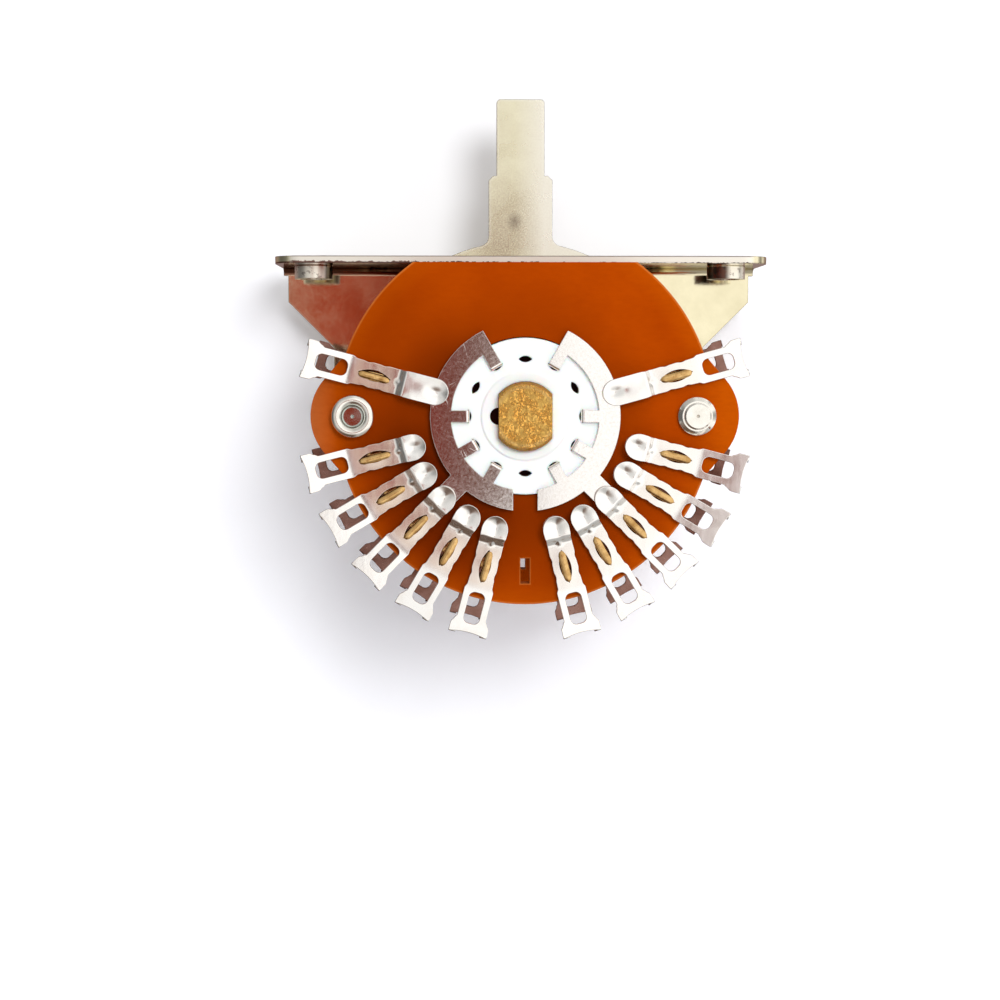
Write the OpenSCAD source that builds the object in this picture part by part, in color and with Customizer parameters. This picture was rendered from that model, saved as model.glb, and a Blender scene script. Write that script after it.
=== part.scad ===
// Five-way lever switch for an electric guitar, seen from the front of its two contact wafers.
// Units are millimetres. X runs along the bracket's flange, Y from the wafers back to the bracket
// plate, and Z up along the lever. The origin is midway between the two fixing holes, on the top
// face of the flange. The lever is drawn upright, in the middle one of its five positions.

/* [Bracket] */
// Thickness of the bracket sheet
sheet_t = 0.7; // [0.6:0.05:1.1]
// Length of the flange
flange_l = 48.3; // [47:0.1:54]
// Depth of the flange from its front edge to the back of the plate
flange_d = 11.0; // [10.6:0.1:12.5]
// Distance of the lever slot and the fixing holes from the front edge of the flange
slot_inset = 5.5; // [5:0.1:5.9]
// Radius of the two free corners of the flange
flange_corner = 2.4; // [0.3:0.1:3.2]
// Distance by which each side of the plate stands in from the flange
plate_inset = 0.45; // [0:0.05:0.5]
// Inside radius of the bend between flange and plate
bend_r = 0.7; // [0.4:0.1:1.2]
// Spacing of the two fixing holes
hole_spacing = 41.3; // [40.6:0.1:42]
// Thread bore of the fixing holes
thread_d = 2.8; // [2.4:0.1:3]
// Outside diameter of the drawn thread boss
boss_d = 3.8; // [3.7:0.1:5]
// Height of the drawn thread boss under the flange
boss_h = 1.3; // [1:0.1:2.2]
// Length of the lever slot
slot_l = 25.4; // [25.2:0.1:27]
// Width of the lever slot
slot_w = 1.8; // [1.6:0.1:2.4]
// Straight height of the plate sides before they slant inwards
side_drop = 4.1; // [3:0.1:6]
// Margin of bracket plate round each post
post_margin = 3.2; // [2.8:0.1:4]
// Radius of the round belly of the plate about the shaft
belly_r = 12.0; // [11.6:0.1:13.5]

/* [Lever] */
// Thickness of the lever blank
lever_t = 1.3; // [1:0.1:1.4]
// Height of the lever tip over the flange
lever_top = 15.7; // [14:0.1:20]
// Width of the knob tang
tang_w = 4.76; // [4.4:0.02:5]
// Height of the knob tang's shoulders over the flange
shoulder_z = 8.2; // [6:0.05:10]
// Width of the lever below the shoulders
shoulder_w = 6.35; // [5.6:0.05:6.6]
// Chamfer on the shoulders
shoulder_chamfer = 0.45; // [0.2:0.05:0.7]
// Chamfer on the tip of the tang
tip_chamfer = 0.25; // [0.1:0.05:0.6]
// Radius of the dust sector about the shaft
sector_r = 17.05; // [16.5:0.05:17.6]
// Half angle of the dust sector
sector_half = 42; // [38:1:46]
// Radius of the hollow corner between the lever's sides and the sector
lever_fillet = 1.0; // [0.4:0.1:1.4]
// Radius of the lever's hub round the shaft
lever_hub_r = 6.5; // [5:0.1:7.5]

/* [Shaft] */
// Depth of the shaft axis under the top of the flange
shaft_drop = 15.3; // [15:0.05:15.5]
// Diameter of the shaft
shaft_d = 6.35; // [6:0.05:6.6]
// Width of the shaft across its two flats
shaft_flats = 4.9; // [4.6:0.05:5.2]
// Length of shaft in front of the front wafer
shaft_proud = 1.3; // [1:0.1:2.5]
// Chamfer round the shaft's front end
shaft_chamfer = 0.3; // [0.1:0.05:0.5]
// Diameter of the journal that turns in the bracket plate
journal_d = 4.7; // [4.3:0.1:4.8]
// Diameter at the bottom of the retaining groove
groove_d = 3.6; // [3.2:0.1:3.9]
// Thickness of the retaining clip
retainer_t = 0.6; // [0.4:0.05:0.8]
// Outside diameter of the retaining clip
retainer_d = 8.0; // [7:0.1:9]
// Width of the retaining clip's mouth less than its bore
retainer_nip = 0.4; // [0.2:0.05:0.6]
// Width of the two reliefs between the retaining clip's prongs
relief_w = 2.2; // [1.6:0.1:2.4]
// Length of journal behind the retaining clip
journal_tail = 0.6; // [0.4:0.1:1.2]

/* [Detent] */
// Diameter of the detent balls
ball_d = 2.38; // [2.2:0.02:2.5]
// Radius of the detent balls about the shaft
detent_r = 9.5; // [9:0.1:9.9]
// Angle between two positions of the lever
detent_pitch = 15; // [14:0.5:15]
// Diameter of the dimple holes in the plate
dimple_d = 1.7; // [1.3:0.1:1.8]
// Thickness of the detent spring
spring_t = 0.4; // [0.3:0.05:0.5]
// Width of the spring's arms
spring_w = 4.2; // [3.6:0.1:4.6]
// Diameter of the seat hole for each ball in the spring
seat_d = 1.7; // [1.3:0.1:1.8]
// Half length of the spring's flat middle
spring_flat = 4.6; // [4:0.1:5]
// Radius of the spring's round middle
spring_hub_r = 5.3; // [4.9:0.1:5.6]

/* [Wafers] */
// Thickness of a wafer
wafer_t = 1.6; // [1.4:0.1:1.8]
// Diameter of a wafer
wafer_d = 34.9; // [34.6:0.1:35.2]
// Height of the wafer's flat top over the shaft axis
wafer_flat = 14.1; // [13.8:0.05:14.2]
// Reach of a wafer ear from the shaft axis
ear_reach = 19.75; // [19.4:0.05:20]
// Radius of a wafer ear
ear_r = 5.15; // [4.9:0.05:5.3]
// Angle above and below the ear where its straight flank leaves the disc
flank_angle = 19; // [18:0.5:21]
// Diameter of the rotor hole in a wafer
rotor_hole_d = 14.6; // [14.5:0.02:14.7]
// Gap between the lever and the collar of the rear rotor
lever_gap = 0.27; // [0.1:0.01:0.6]
// Length of the spacers between the wafers
wafer_gap = 10.4; // [9:0.1:12]
// Spacing of the two posts
post_spacing = 31.7; // [31.2:0.1:32]
// Diameter of the post rods
post_d = 2.0; // [1.8:0.1:2.2]
// Outside diameter of the spacers
spacer_d = 4.0; // [3.6:0.1:4.4]
// Radius of the collar on the left post
collar_r = 2.0; // [1.8:0.05:2.2]
// Height of the collar on the left post
collar_h = 0.95; // [0.8:0.05:1.2]
// Radius of the washer on the right post
washer_r = 1.77; // [1.65:0.01:1.9]
// Height of the washer on the right post
washer_h = 0.65; // [0.45:0.05:0.8]
// Radius of the head of the right post
head_right_r = 1.25; // [1.2:0.01:1.4]
// Height of the head of the right post over its washer
head_right_l = 0.3; // [0.2:0.05:0.5]

/* [Rotors] */
// Running gap between a rotor and its hole, on the radius
rotor_gap = 0.1; // [0.1:0.01:0.25]
// Height of the rotor's front face over the wafer
rotor_proud = 0.3; // [0.3:0.01:0.36]
// Diameter of the collar behind the wafer
rotor_collar_d = 16.4; // [15.6:0.1:17]
// Thickness of the collar behind the wafer
rotor_collar_t = 0.6; // [0.4:0.05:0.7]
// Diameter of the raised hub on the rotor
rotor_hub_d = 8.1; // [7.6:0.1:8.4]
// Radius of the circle of slits
slit_r = 5.25; // [5.1:0.05:5.35]
// Length of a slit
slit_l = 1.25; // [1.15:0.05:1.35]
// Width of a slit
slit_w = 0.58; // [0.54:0.02:0.64]
// Radius of the notch beside the shaft
notch_r = 0.8; // [0.5:0.05:0.9]

/* [Blades] */
// Thickness of a contact blade
blade_t = 0.3; // [0.24:0.02:0.32]
// Inside radius of the blade ring
blade_inner = 6.8; // [6.6:0.05:7]
// Outside radius of the blade ring
blade_outer = 8.75; // [8.4:0.05:8.9]
// Width of the tabs that hold the blade
tab_w = 1.1; // [0.9:0.05:1.3]
// Width of the legs that pass through the slits
leg_w = 0.8; // [0.6:0.05:0.82]
// Width of the contact tooth
tooth_w = 2.07; // [1.8:0.01:2.2]
// Reach of the contact tooth
tooth_r = 11.4; // [11:0.05:11.5]
// Distance of the blade's lower end from the middle of the rotor
blade_end_x = 1.13; // [0.9:0.01:1.4]

/* [Contact clips] */
// Thickness of a spring leaf
leaf_t = 0.25; // [0.2:0.01:0.27]
// Width of a clip at its tip
tip_w = 2.45; // [2.1:0.05:2.5]
// Distance from the blade ring to the tips of the throws
throw_tip_gap = 0.75; // [0.65:0.05:0.95]
// Distance from the rotor hole to the tips of the common fingers
common_tip_gap = 0.05; // [0:0.05:0.3]
// Distance from the end of the tooth to the step in the upper leaf
crease_gap = 0.05; // [0.05:0.05:0.5]
// Length of the step in the upper leaf
crease_l = 0.75; // [0.6:0.05:0.9]
// Width of a clip along its middle
waist_w = 2.35; // [2:0.05:2.4]
// Distance from the staple to the shoulders of the solder lug
lug_gap = 0.7; // [0.5:0.05:0.9]
// Width of the solder lug
lug_w = 2.75; // [2.5:0.05:2.9]
// Distance from the shoulders of the lug to its wire window
window_inset = 0.3; // [0.2:0.05:0.5]
// Length of the wire window
window_l = 2.95; // [2.6:0.05:3]
// Width of the wire window
window_w = 1.5; // [1.3:0.05:1.7]
// Metal left outside the wire window, up to the end of the lug
lug_tail = 1.1; // [0.9:0.05:1.3]
// Width of the T at the end of the lug
ear_w = 3.65; // [3.3:0.05:3.8]
// Hollow of the lug's outer edge
ear_hollow = 0.24; // [0.1:0.02:0.4]
// Distance from the foot of the step to the staple
staple_inset = 0.6; // [0.2:0.05:0.8]
// Length of the staple's bridge
staple_l = 3.1; // [3:0.05:3.2]
// Width of the staple
staple_w = 0.78; // [0.5:0.02:0.78]
// Thickness of the staple's bridge
staple_t = 0.18; // [0.1:0.01:0.25]
// Thickness of the staple's foot behind the wafer
foot_t = 0.3; // [0.2:0.05:0.4]
// Length of the lens-shaped opening in the clip
opening_l = 2.9; // [2.7:0.05:2.95]
// Width of the lens-shaped opening in the clip
opening_w = 1.25; // [0.85:0.05:1.3]
// Length of the lens-shaped opening in the lower leaf, under the ends of the bridge
lower_opening_l = 2.0; // [1.8:0.05:2.2]
// Length of the staple slots in the wafer
wafer_slot_l = 2.35; // [2.2:0.05:2.45]
// Width of the staple slots in the wafer
wafer_slot_w = 0.85; // [0.85:0.05:1.05]

/* [Hidden] */
$fn = 64;

nickel = [0.86, 0.84, 0.78];
silver = [0.92, 0.90, 0.87];
brass = [0.80, 0.62, 0.32];
board = [0.72, 0.28, 0.03];
nylon = [0.95, 0.95, 0.93];
steel = [0.70, 0.70, 0.70];

// Clearances
cut = 0.1;
press_gap = 0.03;
turn_gap = 0.08;
leaf_gap = 0.06;
ball_gap = 0.02;

// Places along Y, from the bracket plate forwards
plate_back = flange_d - slot_inset;
plate_front = plate_back - sheet_t;
lever_back = lever_t / 2;
rear_wafer_back = -lever_back - lever_gap - rotor_collar_t - turn_gap;
rear_gap = plate_front - rear_wafer_back;
rear_wafer_face = rear_wafer_back - wafer_t;
front_wafer_back = rear_wafer_face - wafer_gap;
front_wafer_face = front_wafer_back - wafer_t;
shaft_front = front_wafer_face - shaft_proud;
bend_outer = bend_r + sheet_t;

// Radii along a clip, from its tip outwards
rotor_d = rotor_hole_d - 2 * rotor_gap;
throw_tip_r = blade_outer + throw_tip_gap;
common_tip_r = rotor_hole_d / 2 + common_tip_gap;
crease_r = tooth_r + crease_gap;
staple_r = crease_r + crease_l + staple_inset + staple_l / 2;
lug_r = staple_r + staple_l / 2 + lug_gap;
window_r = lug_r + window_inset;
lug_end_r = window_r + window_l + lug_tail;

// Small shapes of a clip
scoop_l = 1.3;
scoop = 0.1;
scoop_places = [-0.75, 0.85];
window_corner = 0.55;
neck_inset = 0.5;
neck_slant = 0.35;
knee_over = 0.2;
bend_lag = 0.1;
stub_t = 0.2;
stub_w = 0.7;
stub_l = 0.55;
lower_margin = 0.05;
lower_setback = 0.3;
lower_end_gap = 0.4;

// Small shapes of the rotor and the posts
hub_step = 0.08;
rivet_r = 1.8;
rivet_l = 0.8;
pit_r = 0.15;
head_chamfer = 0.15;
collar_sink = 0.24;
washer_edge = 0.3;
slit_count = 12;

// Bend of a blade's tabs
bend_steps = 6;
leg_inset = 0.03;

// Heights over a wafer's face, towards the front
dimple_depth = 0.14;
dimple_r = 2.0;
dimple_offset = 1.2;
tip_lift = 0.15;
tip_lift_l = 0.6;
blade_low = rotor_proud;
blade_high = blade_low + blade_t;
tip_low = blade_high + leaf_gap + dimple_depth;
step_low = leaf_t;

// Directions of the clips about the shaft, in degrees from +X
common_angle = 15;
clip_pitch = 15;
spare_slot_angle = 270;
tooth_angle = 225;
tab_angles = [120, 180, 210, 240];

// The lever's five positions, counted from the middle one
detent_steps = [-2, -1, 0, 1, 2];

post_x = post_spacing / 2;

function throw_angle(side, i) = side == "left" ? 180 + clip_pitch * i : -clip_pitch * i;
function common_dir(side) = side == "left" ? 180 - common_angle : common_angle;
function clip_angles() = [
    for (side = ["left", "right"]) common_dir(side),
    for (side = ["left", "right"]) for (i = [1:5]) throw_angle(side, i)
];
function lens_radius(l, w) = (l * l + w * w) / (4 * w);
function face_of(deck) = deck == "front" ? front_wafer_face : rear_wafer_face;

// An outline drawn as X and Z, given a thickness from y0 towards the back
module plate_xz(y0, t) {
    translate([0, y0 + t, 0]) rotate([90, 0, 0]) linear_extrude(t) children();
}

// The same about the shaft axis
module disc_xz(y0, t) {
    translate([0, 0, -shaft_drop]) plate_xz(y0, t) children();
}

// A clip's own frame on a wafer: X outwards, Y across, Z towards the front
module on_wafer(deck, angle) {
    translate([0, face_of(deck), -shaft_drop]) rotate([90, 0, 0]) rotate([0, 0, angle]) children();
}

// A piece turned about an axis along Y, from a profile of radius and depth
module turned(x, y0) {
    translate([x, y0, -shaft_drop]) rotate([-90, 0, 0]) rotate_extrude() children();
}

// Lens of two equal arcs, long along X
module lens(l, w) {
    r = lens_radius(l, w);
    intersection() {
        translate([0, r - w / 2]) circle(r);
        translate([0, w / 2 - r]) circle(r);
    }
}

// Rectangle with round corners, centred
module soft_rect(l, w, r) {
    square([l - 2 * r, w], center = true);
    square([l, w - 2 * r], center = true);
    for (sx = [-1, 1]) for (sy = [-1, 1]) translate([sx * (l / 2 - r), sy * (w / 2 - r)]) circle(r);
}

// Shaft section with its two flats, widened all round by a clearance
module double_d(gap) {
    intersection() {
        circle(shaft_d / 2 + gap);
        square([shaft_flats + 2 * gap, shaft_d + 4 * gap], center = true);
    }
}

// Plate of the bracket: straight sides, 45 degree slants, an ear round each post and a round belly
module bracket_plate_outline() {
    half = flange_l / 2 - plate_inset;
    ear_x = post_x + post_margin;
    slant_z = -side_drop - (half - ear_x);
    polygon([
        [-half, -bend_outer], [half, -bend_outer], [half, -side_drop], [ear_x, slant_z],
        [ear_x, -shaft_drop], [-ear_x, -shaft_drop], [-ear_x, slant_z], [-half, -side_drop]
    ]);
    translate([0, -shaft_drop]) circle(belly_r);
    translate([-post_x, -shaft_drop - post_margin]) square([post_spacing, post_margin + cut]);
    for (s = [-1, 1]) translate([s * post_x, -shaft_drop]) circle(post_margin);
}

module bracket_flange() {
    front = -slot_inset;
    back = plate_back - bend_outer;
    translate([0, 0, -sheet_t]) linear_extrude(sheet_t) {
        translate([-flange_l / 2, front + flange_corner]) square([flange_l, back - front - flange_corner]);
        translate([-flange_l / 2 + flange_corner, front])
            square([flange_l - 2 * flange_corner, flange_corner + cut]);
        for (s = [-1, 1]) translate([s * (flange_l / 2 - flange_corner), front + flange_corner])
            circle(flange_corner);
    }
}

module bracket_bend() {
    rotate([90, 0, 90]) linear_extrude(flange_l, center = true)
        translate([plate_back - bend_outer, -bend_outer]) intersection() {
            difference() {
                circle(bend_outer);
                circle(bend_r);
            }
            square(bend_outer);
        }
}

// Folded sheet with a lever slot, two drawn thread bosses and the dimple holes of the detent
module bracket() {
    color(nickel) difference() {
        union() {
            bracket_flange();
            bracket_bend();
            plate_xz(plate_front, sheet_t) bracket_plate_outline();
            for (s = [-1, 1]) translate([s * hole_spacing / 2, 0, -sheet_t - boss_h])
                cylinder(d = boss_d, h = boss_h);
        }
        for (s = [-1, 1]) translate([s * hole_spacing / 2, 0, -sheet_t - boss_h - cut])
            cylinder(d = thread_d, h = sheet_t + boss_h + 2 * cut);
        translate([-slot_l / 2, -slot_w / 2, -sheet_t - cut]) cube([slot_l, slot_w, sheet_t + 2 * cut]);
        disc_xz(plate_front - cut, sheet_t + 2 * cut) circle(d = journal_d + 2 * turn_gap);
        for (s = [-1, 1]) {
            disc_xz(plate_front - cut, sheet_t + 2 * cut)
                translate([s * post_x, 0]) circle(d = post_d + 2 * press_gap);
            for (i = detent_steps) disc_xz(plate_front - cut, sheet_t + 2 * cut)
                rotate(i * detent_pitch) translate([s * detent_r, 0]) circle(d = dimple_d);
        }
    }
}

// Lever above the hub: tang, shoulders and waist
module lever_bar_outline() {
    t = tang_w / 2;
    w = shoulder_w / 2;
    foot_z = -shaft_drop - lever_hub_r / 2;
    polygon([
        [-t + tip_chamfer, lever_top], [t - tip_chamfer, lever_top], [t, lever_top - tip_chamfer],
        [t, shoulder_z], [w - shoulder_chamfer, shoulder_z], [w, shoulder_z - shoulder_chamfer],
        [w, foot_z], [-w, foot_z], [-w, shoulder_z - shoulder_chamfer],
        [-w + shoulder_chamfer, shoulder_z], [-t, shoulder_z], [-t, lever_top - tip_chamfer]
    ]);
}

// Sector that keeps the slot closed while the lever swings
module sector_outline() {
    far = 2 * sector_r;
    intersection() {
        circle(sector_r);
        polygon([
            [0, 0], [-far * sin(sector_half), far * cos(sector_half)], [-far * sin(sector_half), far],
            [far * sin(sector_half), far], [far * sin(sector_half), far * cos(sector_half)]
        ]);
    }
}

// Hollow corner between a side of the lever and the rim of the sector
module lever_fillet_outline() {
    x = shoulder_w / 2 + lever_fillet;
    reach = sector_r + lever_fillet;
    z = sqrt(reach * reach - x * x);
    difference() {
        polygon([
            [0, sector_r - lever_fillet], [0, z], [x, z], [x * sector_r / reach, z * sector_r / reach]
        ]);
        translate([x, z]) circle(lever_fillet);
    }
}

module lever() {
    front = -lever_t / 2;
    color(nickel) difference() {
        union() {
            plate_xz(front, lever_t) lever_bar_outline();
            for (s = [0, 1]) disc_xz(front, lever_t) mirror([s, 0]) lever_fillet_outline();
            disc_xz(front, lever_t) sector_outline();
            disc_xz(front, lever_t) circle(lever_hub_r);
        }
        disc_xz(front - cut, lever_t + 2 * cut) double_d(press_gap);
    }
}

// Two-flat bar for the rotors and the lever, then a journal, a groove and an end collar
module shaft() {
    bar_end = plate_front - turn_gap;
    groove_front = plate_back + turn_gap;
    groove_back = groove_front + retainer_t + press_gap;
    r = shaft_d / 2;
    color(brass) union() {
        intersection() {
            turned(0, 0) polygon([
                [0, shaft_front], [r - shaft_chamfer, shaft_front], [r, shaft_front + shaft_chamfer],
                [r, bar_end], [0, bar_end]
            ]);
            translate([-shaft_flats / 2, shaft_front - cut, -shaft_drop - r - cut])
                cube([shaft_flats, bar_end - shaft_front + 2 * cut, 2 * r + 2 * cut]);
        }
        turned(0, 0) polygon([
            [0, bar_end - cut], [journal_d / 2, bar_end - cut], [journal_d / 2, groove_front],
            [groove_d / 2, groove_front], [groove_d / 2, groove_back],
            [journal_d / 2, groove_back], [journal_d / 2, groove_back + journal_tail],
            [0, groove_back + journal_tail]
        ]);
    }
}

// Three-pronged clip in the groove behind the plate, open downwards
module shaft_retainer() {
    inner = groove_d / 2 + press_gap;
    relief = (retainer_d / 2 + journal_d / 2) / 2;
    color(steel) disc_xz(plate_back + turn_gap + press_gap / 2, retainer_t) difference() {
        circle(d = retainer_d);
        circle(inner);
        translate([0, -retainer_d / 2]) square([2 * inner - retainer_nip, retainer_d], center = true);
        for (a = [45, 135]) rotate(a) intersection() {
            difference() {
                circle(relief);
                circle(inner - cut);
            }
            translate([0, -relief_w / 2]) square([retainer_d, relief_w]);
        }
    }
}

// Bowed leaf behind the lever that presses the balls into the plate's dimple holes
module detent_spring() {
    ball_y = plate_front - ball_gap - ball_d / 2;
    seat = sqrt(ball_d * ball_d - seat_d * seat_d) / 2;
    rise = ball_y - seat - press_gap - spring_t - lever_back;
    end_x = detent_r - spring_w / 2;
    tip_x = detent_r + spring_w / 2;
    color(steel) intersection() {
        translate([0, 0, -shaft_drop - spring_hub_r - cut]) linear_extrude(2 * spring_hub_r + 2 * cut)
            translate([0, lever_back]) polygon([
                [-tip_x, rise], [-end_x, rise], [-spring_flat, 0], [spring_flat, 0], [end_x, rise],
                [tip_x, rise], [tip_x, rise + spring_t], [end_x, rise + spring_t], [spring_flat, spring_t],
                [-spring_flat, spring_t], [-end_x, rise + spring_t], [-tip_x, rise + spring_t]
            ]);
        disc_xz(lever_back - cut, plate_front - lever_back) difference() {
            union() {
                circle(spring_hub_r);
                square([2 * detent_r, spring_w], center = true);
                for (s = [-1, 1]) translate([s * detent_r, 0]) circle(spring_w / 2);
            }
            double_d(press_gap);
            for (s = [-1, 1]) translate([s * detent_r, 0]) circle(d = seat_d);
        }
    }
}

module detent_balls() {
    color(steel) for (s = [-1, 1])
        translate([s * detent_r, plate_front - ball_gap - ball_d / 2, -shaft_drop]) sphere(d = ball_d);
}

// Ear of a wafer: a round end with straight flanks that leave the disc at the flank angle
module ear_outline() {
    r = wafer_d / 2;
    cx = ear_reach - ear_r;
    px = r * cos(flank_angle) - cx;
    py = r * sin(flank_angle);
    turn = atan2(py, px) - acos(ear_r / norm([px, py]));
    translate([cx, 0]) circle(ear_r);
    polygon([
        [0, 0], [cx + px, -py], [cx + ear_r * cos(turn), -ear_r * sin(turn)],
        [cx + ear_r * cos(turn), ear_r * sin(turn)], [cx + px, py]
    ]);
}

module wafer_outline() {
    difference() {
        union() {
            circle(d = wafer_d);
            ear_outline();
            mirror([1, 0]) ear_outline();
        }
        translate([-wafer_d, wafer_flat]) square([2 * wafer_d, wafer_d]);
        circle(d = rotor_hole_d);
        for (s = [-1, 1]) translate([s * post_x, 0]) circle(d = post_d + 2 * press_gap);
        for (a = concat(clip_angles(), [spare_slot_angle])) rotate(a) translate([staple_r, 0])
            square([wafer_slot_l, wafer_slot_w], center = true);
    }
}

module wafer(deck) {
    color(board) disc_xz(face_of(deck), wafer_t) wafer_outline();
}

// Moulded rotor: front face, raised hub, body in the wafer and a collar behind it
module rotor(deck) {
    face = face_of(deck) - rotor_proud;
    collar_y = face_of(deck) + wafer_t + turn_gap;
    color(nylon) difference() {
        union() {
            disc_xz(face, collar_y - face) circle(d = rotor_d);
            disc_xz(face - hub_step, hub_step + cut) circle(d = rotor_hub_d);
            disc_xz(collar_y, rotor_collar_t) circle(d = rotor_collar_d);
        }
        disc_xz(face - hub_step - cut, collar_y + rotor_collar_t - face + hub_step + 2 * cut) {
            double_d(press_gap);
            translate([-shaft_flats / 2, 0]) circle(notch_r);
            for (i = [1:slit_count])
                rotate(i * 360 / slit_count) translate([slit_r, 0]) rotate(90) lens(slit_l, slit_w);
        }
    }
}

// Left contact blade: part of a ring with one tooth, and tabs that run in to the slits
module blade_outline() {
    far = 2 * tooth_r;
    intersection() {
        difference() {
            circle(blade_outer);
            circle(blade_inner);
        }
        translate([-far, -far]) square([far - blade_end_x, 2 * far]);
        rotate(tab_angles[0] - 90) translate([-far, -far]) square([far + tab_w / 2, 2 * far]);
    }
    for (a = tab_angles) rotate(a) translate([slit_r + blade_t / 2, -tab_w / 2])
        square([blade_inner - slit_r, tab_w]);
    rotate(tooth_angle) translate([blade_inner, -tooth_w / 2]) square([tooth_r - blade_inner, tooth_w]);
}

// Side view of the bend that turns a tab down into its slit
module tab_bend() {
    outer = slit_r + blade_t / 2;
    polygon(concat(
        [[outer + blade_t / 2, blade_low], [outer + blade_t / 2, blade_high]],
        [for (i = [0:bend_steps])
            [outer - blade_t * sin(i * 90 / bend_steps), blade_low + blade_t * cos(i * 90 / bend_steps)]]
    ));
}

module blade(deck, side) {
    leg_t = blade_t - leg_inset;
    leg_low = turn_gap - wafer_t;
    color(silver) mirror([side == "right" ? 1 : 0, 0, 0]) union() {
        disc_xz(face_of(deck) - blade_high, blade_t) blade_outline();
        for (a = tab_angles) on_wafer(deck, a) {
            rotate([90, 0, 0]) linear_extrude(tab_w, center = true) tab_bend();
            translate([slit_r + blade_t / 2 - leg_t, -leg_w / 2, leg_low])
                cube([leg_t, leg_w, blade_low + leg_inset - leg_low]);
        }
    }
}

// Flat pattern of a clip: round tip, scalloped waist, lug with wire window, T-shaped end
module clip_outline(tip_r) {
    scoop_r = (scoop_l * scoop_l / 4 + scoop * scoop) / (2 * scoop);
    hollow_r = (ear_w * ear_w / 4 + ear_hollow * ear_hollow) / (2 * ear_hollow);
    step_l = (lug_w - waist_w) / 2;
    neck_r = window_r + window_l - neck_inset;
    ear_r0 = neck_r + (ear_w - lug_w) / 2 + neck_slant;
    difference() {
        union() {
            translate([tip_r + tip_w / 2, 0]) circle(d = tip_w);
            translate([tip_r + tip_w / 2, -tip_w / 2])
                square([crease_r - tip_r - tip_w / 2 + knee_over, tip_w]);
            polygon([
                [crease_r, -waist_w / 2], [lug_r - step_l, -waist_w / 2], [lug_r, -lug_w / 2],
                [neck_r, -lug_w / 2], [ear_r0, -ear_w / 2], [lug_end_r, -ear_w / 2],
                [lug_end_r, ear_w / 2], [ear_r0, ear_w / 2], [neck_r, lug_w / 2],
                [lug_r, lug_w / 2], [lug_r - step_l, waist_w / 2], [crease_r, waist_w / 2]
            ]);
        }
        translate([lug_end_r - ear_hollow + hollow_r, 0]) circle(hollow_r);
        translate([staple_r, 0]) lens(opening_l, opening_w);
        translate([window_r + window_l / 2, 0]) soft_rect(window_l, window_w, window_corner);
        for (s = [-1, 1]) for (x = scoop_places)
            translate([staple_r + x, s * (waist_w / 2 + scoop_r - scoop)]) circle(scoop_r);
    }
}

// Side view of the upper leaf: lifted tip, flat, step down to the lower leaf, straight lug
module clip_side(tip_r) {
    knee = crease_r + crease_l;
    polygon([
        [tip_r, tip_low + tip_lift], [tip_r + tip_lift_l, tip_low], [crease_r, tip_low],
        [knee, step_low], [lug_end_r, step_low], [lug_end_r, step_low + leaf_t],
        [knee + bend_lag, step_low + leaf_t], [crease_r + bend_lag, tip_low + leaf_t],
        [tip_r + tip_lift_l, tip_low + leaf_t], [tip_r, tip_low + tip_lift + leaf_t]
    ]);
}

// Spring clip: the pattern above cut from the folded strip, with a pressed contact dimple
module clip(deck, angle, tip_r) {
    ball_z = tip_low + leaf_t - dimple_depth + dimple_r;
    color(silver) on_wafer(deck, angle) difference() {
        union() {
            intersection() {
                rotate([90, 0, 0]) linear_extrude(ear_w + 2 * cut, center = true) clip_side(tip_r);
                linear_extrude(tip_low + 2 * leaf_t) clip_outline(tip_r);
            }
            intersection() {
                translate([tip_r + dimple_offset, 0, ball_z]) sphere(dimple_r + leaf_t);
                translate([tip_r + dimple_offset, 0, tip_low - dimple_depth - cut])
                    cylinder(r = tip_w / 2 + cut, h = dimple_depth + cut + leaf_t / 2);
            }
            for (s = [-1, 1])
                translate([lug_end_r - stub_t, s * (ear_w - stub_w) / 2 - stub_w / 2, step_low - stub_l])
                    cube([stub_t, stub_w, stub_l + leaf_t]);
        }
        translate([tip_r + dimple_offset, 0, ball_z]) sphere(dimple_r);
    }
}

// Lower leaves: one short spring under each clip, between it and the wafer
module lower_leaves(deck) {
    half = waist_w / 2 - lower_margin;
    color(silver) for (a = clip_angles()) {
        common = a == common_dir("left") || a == common_dir("right");
        tip_r = common ? common_tip_r + lower_setback : throw_tip_r + lower_margin;
        on_wafer(deck, a) linear_extrude(leaf_t) difference() {
            union() {
                translate([tip_r + half, 0]) circle(half);
                translate([tip_r + half, -half]) square([lug_r - lower_end_gap - tip_r - half, 2 * half]);
            }
            translate([staple_r, 0]) lens(lower_opening_l, opening_w);
        }
    }
}

// Staples: a bridge on the lower leaf inside the clip's opening, a shank through the wafer, and a
// clinched foot behind it
module staples(deck) {
    side_r = lens_radius(lower_opening_l, opening_w);
    shank_l = 2 * sqrt(side_r * side_r - pow(side_r - opening_w / 2 + staple_w / 2 + press_gap, 2));
    color(brass) for (a = clip_angles()) on_wafer(deck, a) union() {
        translate([staple_r, 0, leaf_t]) linear_extrude(staple_t) intersection() {
            lens(opening_l - 4 * press_gap, opening_w - 2 * press_gap);
            square([staple_l, staple_w], center = true);
        }
        translate([staple_r - shank_l / 2, -staple_w / 2, -wafer_t - foot_t / 2])
            cube([shank_l, staple_w, wafer_t + leaf_t + (staple_t + foot_t) / 2]);
        translate([staple_r - staple_l / 2, -staple_w / 2, -wafer_t - foot_t])
            cube([staple_l, staple_w, foot_t]);
    }
}

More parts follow.
